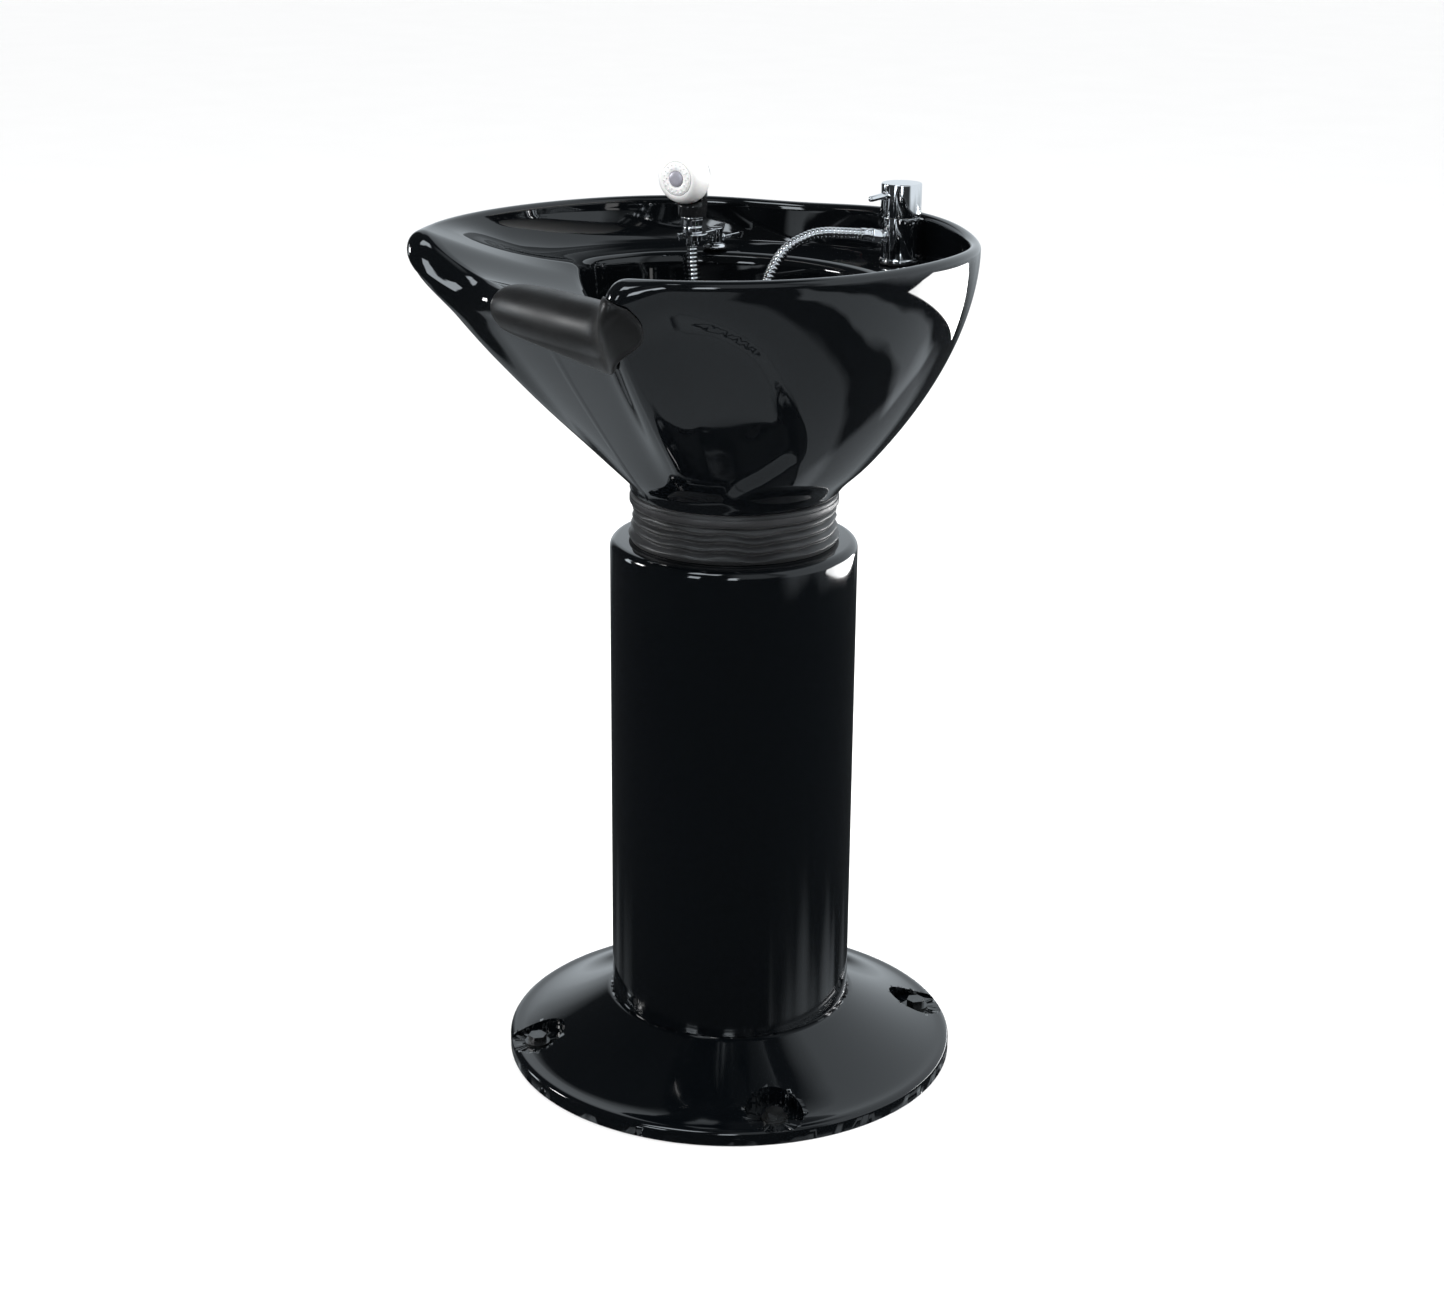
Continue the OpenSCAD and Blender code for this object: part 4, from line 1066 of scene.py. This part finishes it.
# ---- holder
HOLDER = (-172, 92)
RUN = dist(HOLDER, HANDSET)
HOLDER_TURN = atan2(HANDSET[1] - HOLDER[1], HANDSET[0] - HOLDER[0])
RING_R, RING_BORE_R, RING_LOW, RING_TOP, RING_GAP = 17, 9.4, 889.6, 896.9, radians(30)
SCREW_TURN, SCREW_Z, SCREW_LEAN = 165, 884.2, 86


def at_holder(turn=0.0):
    return at(*HOLDER, 0) @ Matrix.Rotation(HOLDER_TURN + turn, 4, "Z")


def arc(r, middle, first, last, count):
    return [(r * cos(middle + t), r * sin(middle + t)) for t in np.linspace(first, last, count)]


def build_holder_pillar():
    dome = raised(SEAT_Z, [(0, 1.2), (13.3, 1.2), (13.5, 1.5), (13.5, 2.2), (13.1, 3), (12, 4.3),
                           (10.2, 5.3), (8.2, 5.9), (6.4, 6.3), (6, 6.8)]) + [(6, 888.4), (0, 888.6)]
    top = lathe("dome", dome, CHROME, closed=False, place=at_holder())
    shank = raised(LEDGE_Z, [(0, -32), (3.6, -32), (4, -31.4), (4, 4), (0, 4)])
    stud = lathe("stud", shank, CHROME, closed=False, place=at_holder(), n=48)
    join("holder_pillar", [top, stud], CHROME, "bowl", ["holder_base"])


def build_holder_clip():
    """The C-shaped ring round the hand shower, and the bar from it to the pillar."""
    outer, inner = RING_GAP * 0.86, RING_GAP * 1.4
    ring = (arc(RING_R, HOLDER_TURN, outer, 2 * pi - outer, 64)
            + arc(RING_BORE_R, HOLDER_TURN, 2 * pi - inner, inner, 48))
    c_ring = mesh_piece("c_ring", *prism_data(ring, RING_LOW, RING_TOP), CHROME, place=AT_HANDSET)
    bar = mesh_piece("bar", *box_data((6, -5, 890.2), (RUN - 15.5, 5, 895.8)), CHROME,
                     place=at_holder())
    bevel(bar, 0.9)
    bevel(c_ring, 0.9)
    knuckle = lathe("knuckle", rounded([(0, 897), (8.6, 897), (8.6, 881), (6.2, 881), (6.2, 888.8),
                                        (0, 888.8)], 0.8, 4, keep=(0, 5)),
                    CHROME, closed=False, place=at_holder(), n=64)
    join("holder_clip", [c_ring, bar, knuckle], CHROME, "bowl", ["holder_arm"])


def build_holder_screw():
    grip = (at_holder(radians(SCREW_TURN)) @ at(0, 0, SCREW_Z)
            @ Matrix.Rotation(radians(SCREW_LEAN), 4, "Y"))
    shank = lathe("shank", [(0, 7), (2.5, 7), (2.5, 9.6), (4.1, 9.6), (4.4, 9.9), (4.4, 12.3),
                            (4.1, 12.6), (2.5, 12.6), (2.5, 15.8), (0, 16)],
                  CHROME, closed=False, place=grip, n=48)
    outline = rounded([(12.4, -2.6), (36, -2.6), (36, 2.6), (12.4, 2.6)], 2.2, 5, keep=(0, 3))
    tab = mesh_piece("tab", *prism_data(outline, -2, 2), CHROME,
                     place=grip @ Matrix.Rotation(radians(-90), 4, "Y"))
    bevel(tab, 0.7)
    join("holder_thumb_screw", [shank, tab], CHROME, "bowl", ["holder_screw"])


build_holder_pillar()
build_holder_clip()
build_holder_screw()


# ---- waste
def build_waste():
    z = WELL_Z
    flange = raised(z, [(20, -44), (24, -44), (24, 0.8), (41, 2.2), (41, 3.2), (38, 4.2), (25, 3.6),
                        (23, 2.6), (20, -0.5)])
    lathe("waste_ring", rounded(flange, 0.6, 3), CHROME, "bowl", ["waste_flange"], n=128)
    cup = raised(z, [(0, -15), (19.2, -15), (19.6, -14.6), (19.6, 3.6), (22.6, 3.8), (23, 4.3),
                     (22.6, 5.1), (18.2, 5.2), (17.8, 4.8), (17.8, -13.2), (2.4, -13.4), (2.4, 4)])
    cup += [(4.6 * cos(t), z + 9 + 4.6 * sin(t)) for t in np.linspace(-0.9, pi / 2, 10)]
    basket = lathe("strainer_cup", cup, CHROME, closed=False)
    drill = raised(z, [(0, -18), (1.7, -18), (1.7, -11), (0, -11)])
    for row_r, count in ((8, 6), (14, 12)):
        for k in range(count):
            a = 2 * pi * k / count
            place = at(row_r * cos(a), row_r * sin(a), 0)
            cut(basket, lathe("drill", drill, CHROME, n=12, place=place))
    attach(basket, "strainer")
    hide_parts("strainer_basket")


build_waste()


# ---- studio
def backdrop():
    """A wide, flat, pale floor, which the gloss doesn't reflect."""
    s = Shader("studio_floor", (0.88, 0.88, 0.88), 0.75)
    s.colours(s.noise(3, 3), (0.87, 0.87, 0.87), (0.9, 0.9, 0.9))
    size = 30
    mesh = bpy.data.meshes.new("floor")
    mesh.from_pydata([(-size, -size, 0), (size, -size, 0), (size, size, 0), (-size, size, 0)], [],
                     [(0, 1, 2, 3)])
    mesh.materials.append(s.material)
    floor = new_object("floor", mesh)
    floor.visible_glossy = False


def softbox(name, place, target, size, power, unseen_by=()):
    """A rectangular light in metres and watts that some kinds of ray don't see."""
    data = bpy.data.lights.new(name, "AREA")
    data.shape, data.size, data.size_y, data.energy = "RECTANGLE", *size, power
    light = new_object(name, data)
    light.matrix_world = facing(place, Vector(place) - Vector(target))
    for ray in unseen_by:
        setattr(light, "visible_" + ray, False)


AMBIENT_GLOSS, SKY = 0.035, 1.14
# What the gloss reflects: for each panel its bearings from the back of the object towards its
# right, its heights above the horizon, its brightness, and how soft its edge is (degrees)
PANELS = [
    ((-78, 78), (-11, 63), 0.85, 5),
    ((84, 126), (4, 60), 0.5, 6),
    ((142, 176), (42, 62), 6, 2),
    ((122, 130), (-8, 14), 7, 0.6),
    ((157, 167), (-8, 13), 6, 0.6),
    ((-127, -120), (-8, 14), 5, 0.6),
    ((-179, 179), (-89, -59), 0.3, 2),
    ((-8, 84), (-43, -27), 0.6, 1.5),
    ((-46, 0), (-66, -28), 0.35, 3),
    ((-122, -68), (-62, -28), 0.38, 4),
]


class Room(Graph):
    """A dark room with panels in it, as a brightness for each way a ray can go."""

    def __init__(self, tree):
        super().__init__(tree)
        way = self.add("ShaderNodeTexCoord").outputs["Generated"]
        split = self.add("ShaderNodeSeparateXYZ")
        self.links.new(way, split.inputs[0])
        ripple = self.add("ShaderNodeTexNoise", {"Scale": 2.6})
        self.links.new(way, ripple.inputs["Vector"])
        drift = self.ranged(ripple.outputs["Fac"], 0.3, 0.7, -0.05, 0.05)
        bearing = self.sums(split.outputs["X"], split.outputs["Y"], "ARCTAN2")
        height = self.add("ShaderNodeMath", operation="ARCSINE")
        self.links.new(split.outputs["Z"], height.inputs[0])
        self.bearing = self.sums(bearing, drift)
        self.height = self.sums(height.outputs[0], drift)
        self.total = AMBIENT_GLOSS

    def panel(self, bearings, heights, brightness, soft):
        shape = brightness
        for value, (low, high) in ((self.bearing, bearings), (self.height, heights)):
            for middle, first, last in ((low, 0, 1), (high, 1, 0)):
                edge = self.ranged(value, radians(middle - soft), radians(middle + soft), first, last)
                shape = self.sums(edge, shape, "MULTIPLY")
        self.total = self.sums(shape, self.total)


def studio():
    world = bpy.data.worlds.new("studio")
    world.use_nodes = True
    room = Room(world.node_tree)
    for panel in PANELS:
        room.panel(*panel)
    pale, dark = room.nodes["Background"], room.add("ShaderNodeBackground")
    pale.inputs["Color"].default_value, pale.inputs["Strength"].default_value = (1, 1, 1, 1), SKY
    dark.inputs["Color"].default_value = (0.86, 0.94, 1, 1)
    room.links.new(room.total, dark.inputs["Strength"])
    rays, blend = room.add("ShaderNodeLightPath"), room.add("ShaderNodeMixShader")
    room.links.new(rays.outputs["Is Glossy Ray"], blend.inputs["Fac"])
    room.links.new(pale.outputs[0], blend.inputs[1])
    room.links.new(dark.outputs[0], blend.inputs[2])
    room.links.new(blend.outputs[0], room.nodes["World Output"].inputs["Surface"])
    bpy.context.scene.world = world
    bpy.context.scene.view_settings.view_transform = "Standard"
    middle = (0, 0, 0.7)
    softbox("key", (1.6, 2.6, 2.2), (0, 0, 0.8), (1.2, 2.4), 110, ["glossy"])
    softbox("front_fill", (1.2, -3.2, 2.6), middle, (2.2, 1.6), 40, ["glossy"])
    softbox("top", (-0.4, -0.2, 3.4), middle, (2.4, 2.4), 60, ["glossy"])
    softbox("left_spot", (-1.9, -2.3, 1.3), (0, 0, 0.9), (0.5, 0.5), 22)
    softbox("floor_glow", (0.3, 3.5, 0.02), (0.3, 3.4, 1), (2.6, 2.2), 200, ["diffuse", "camera"])


backdrop()
studio()
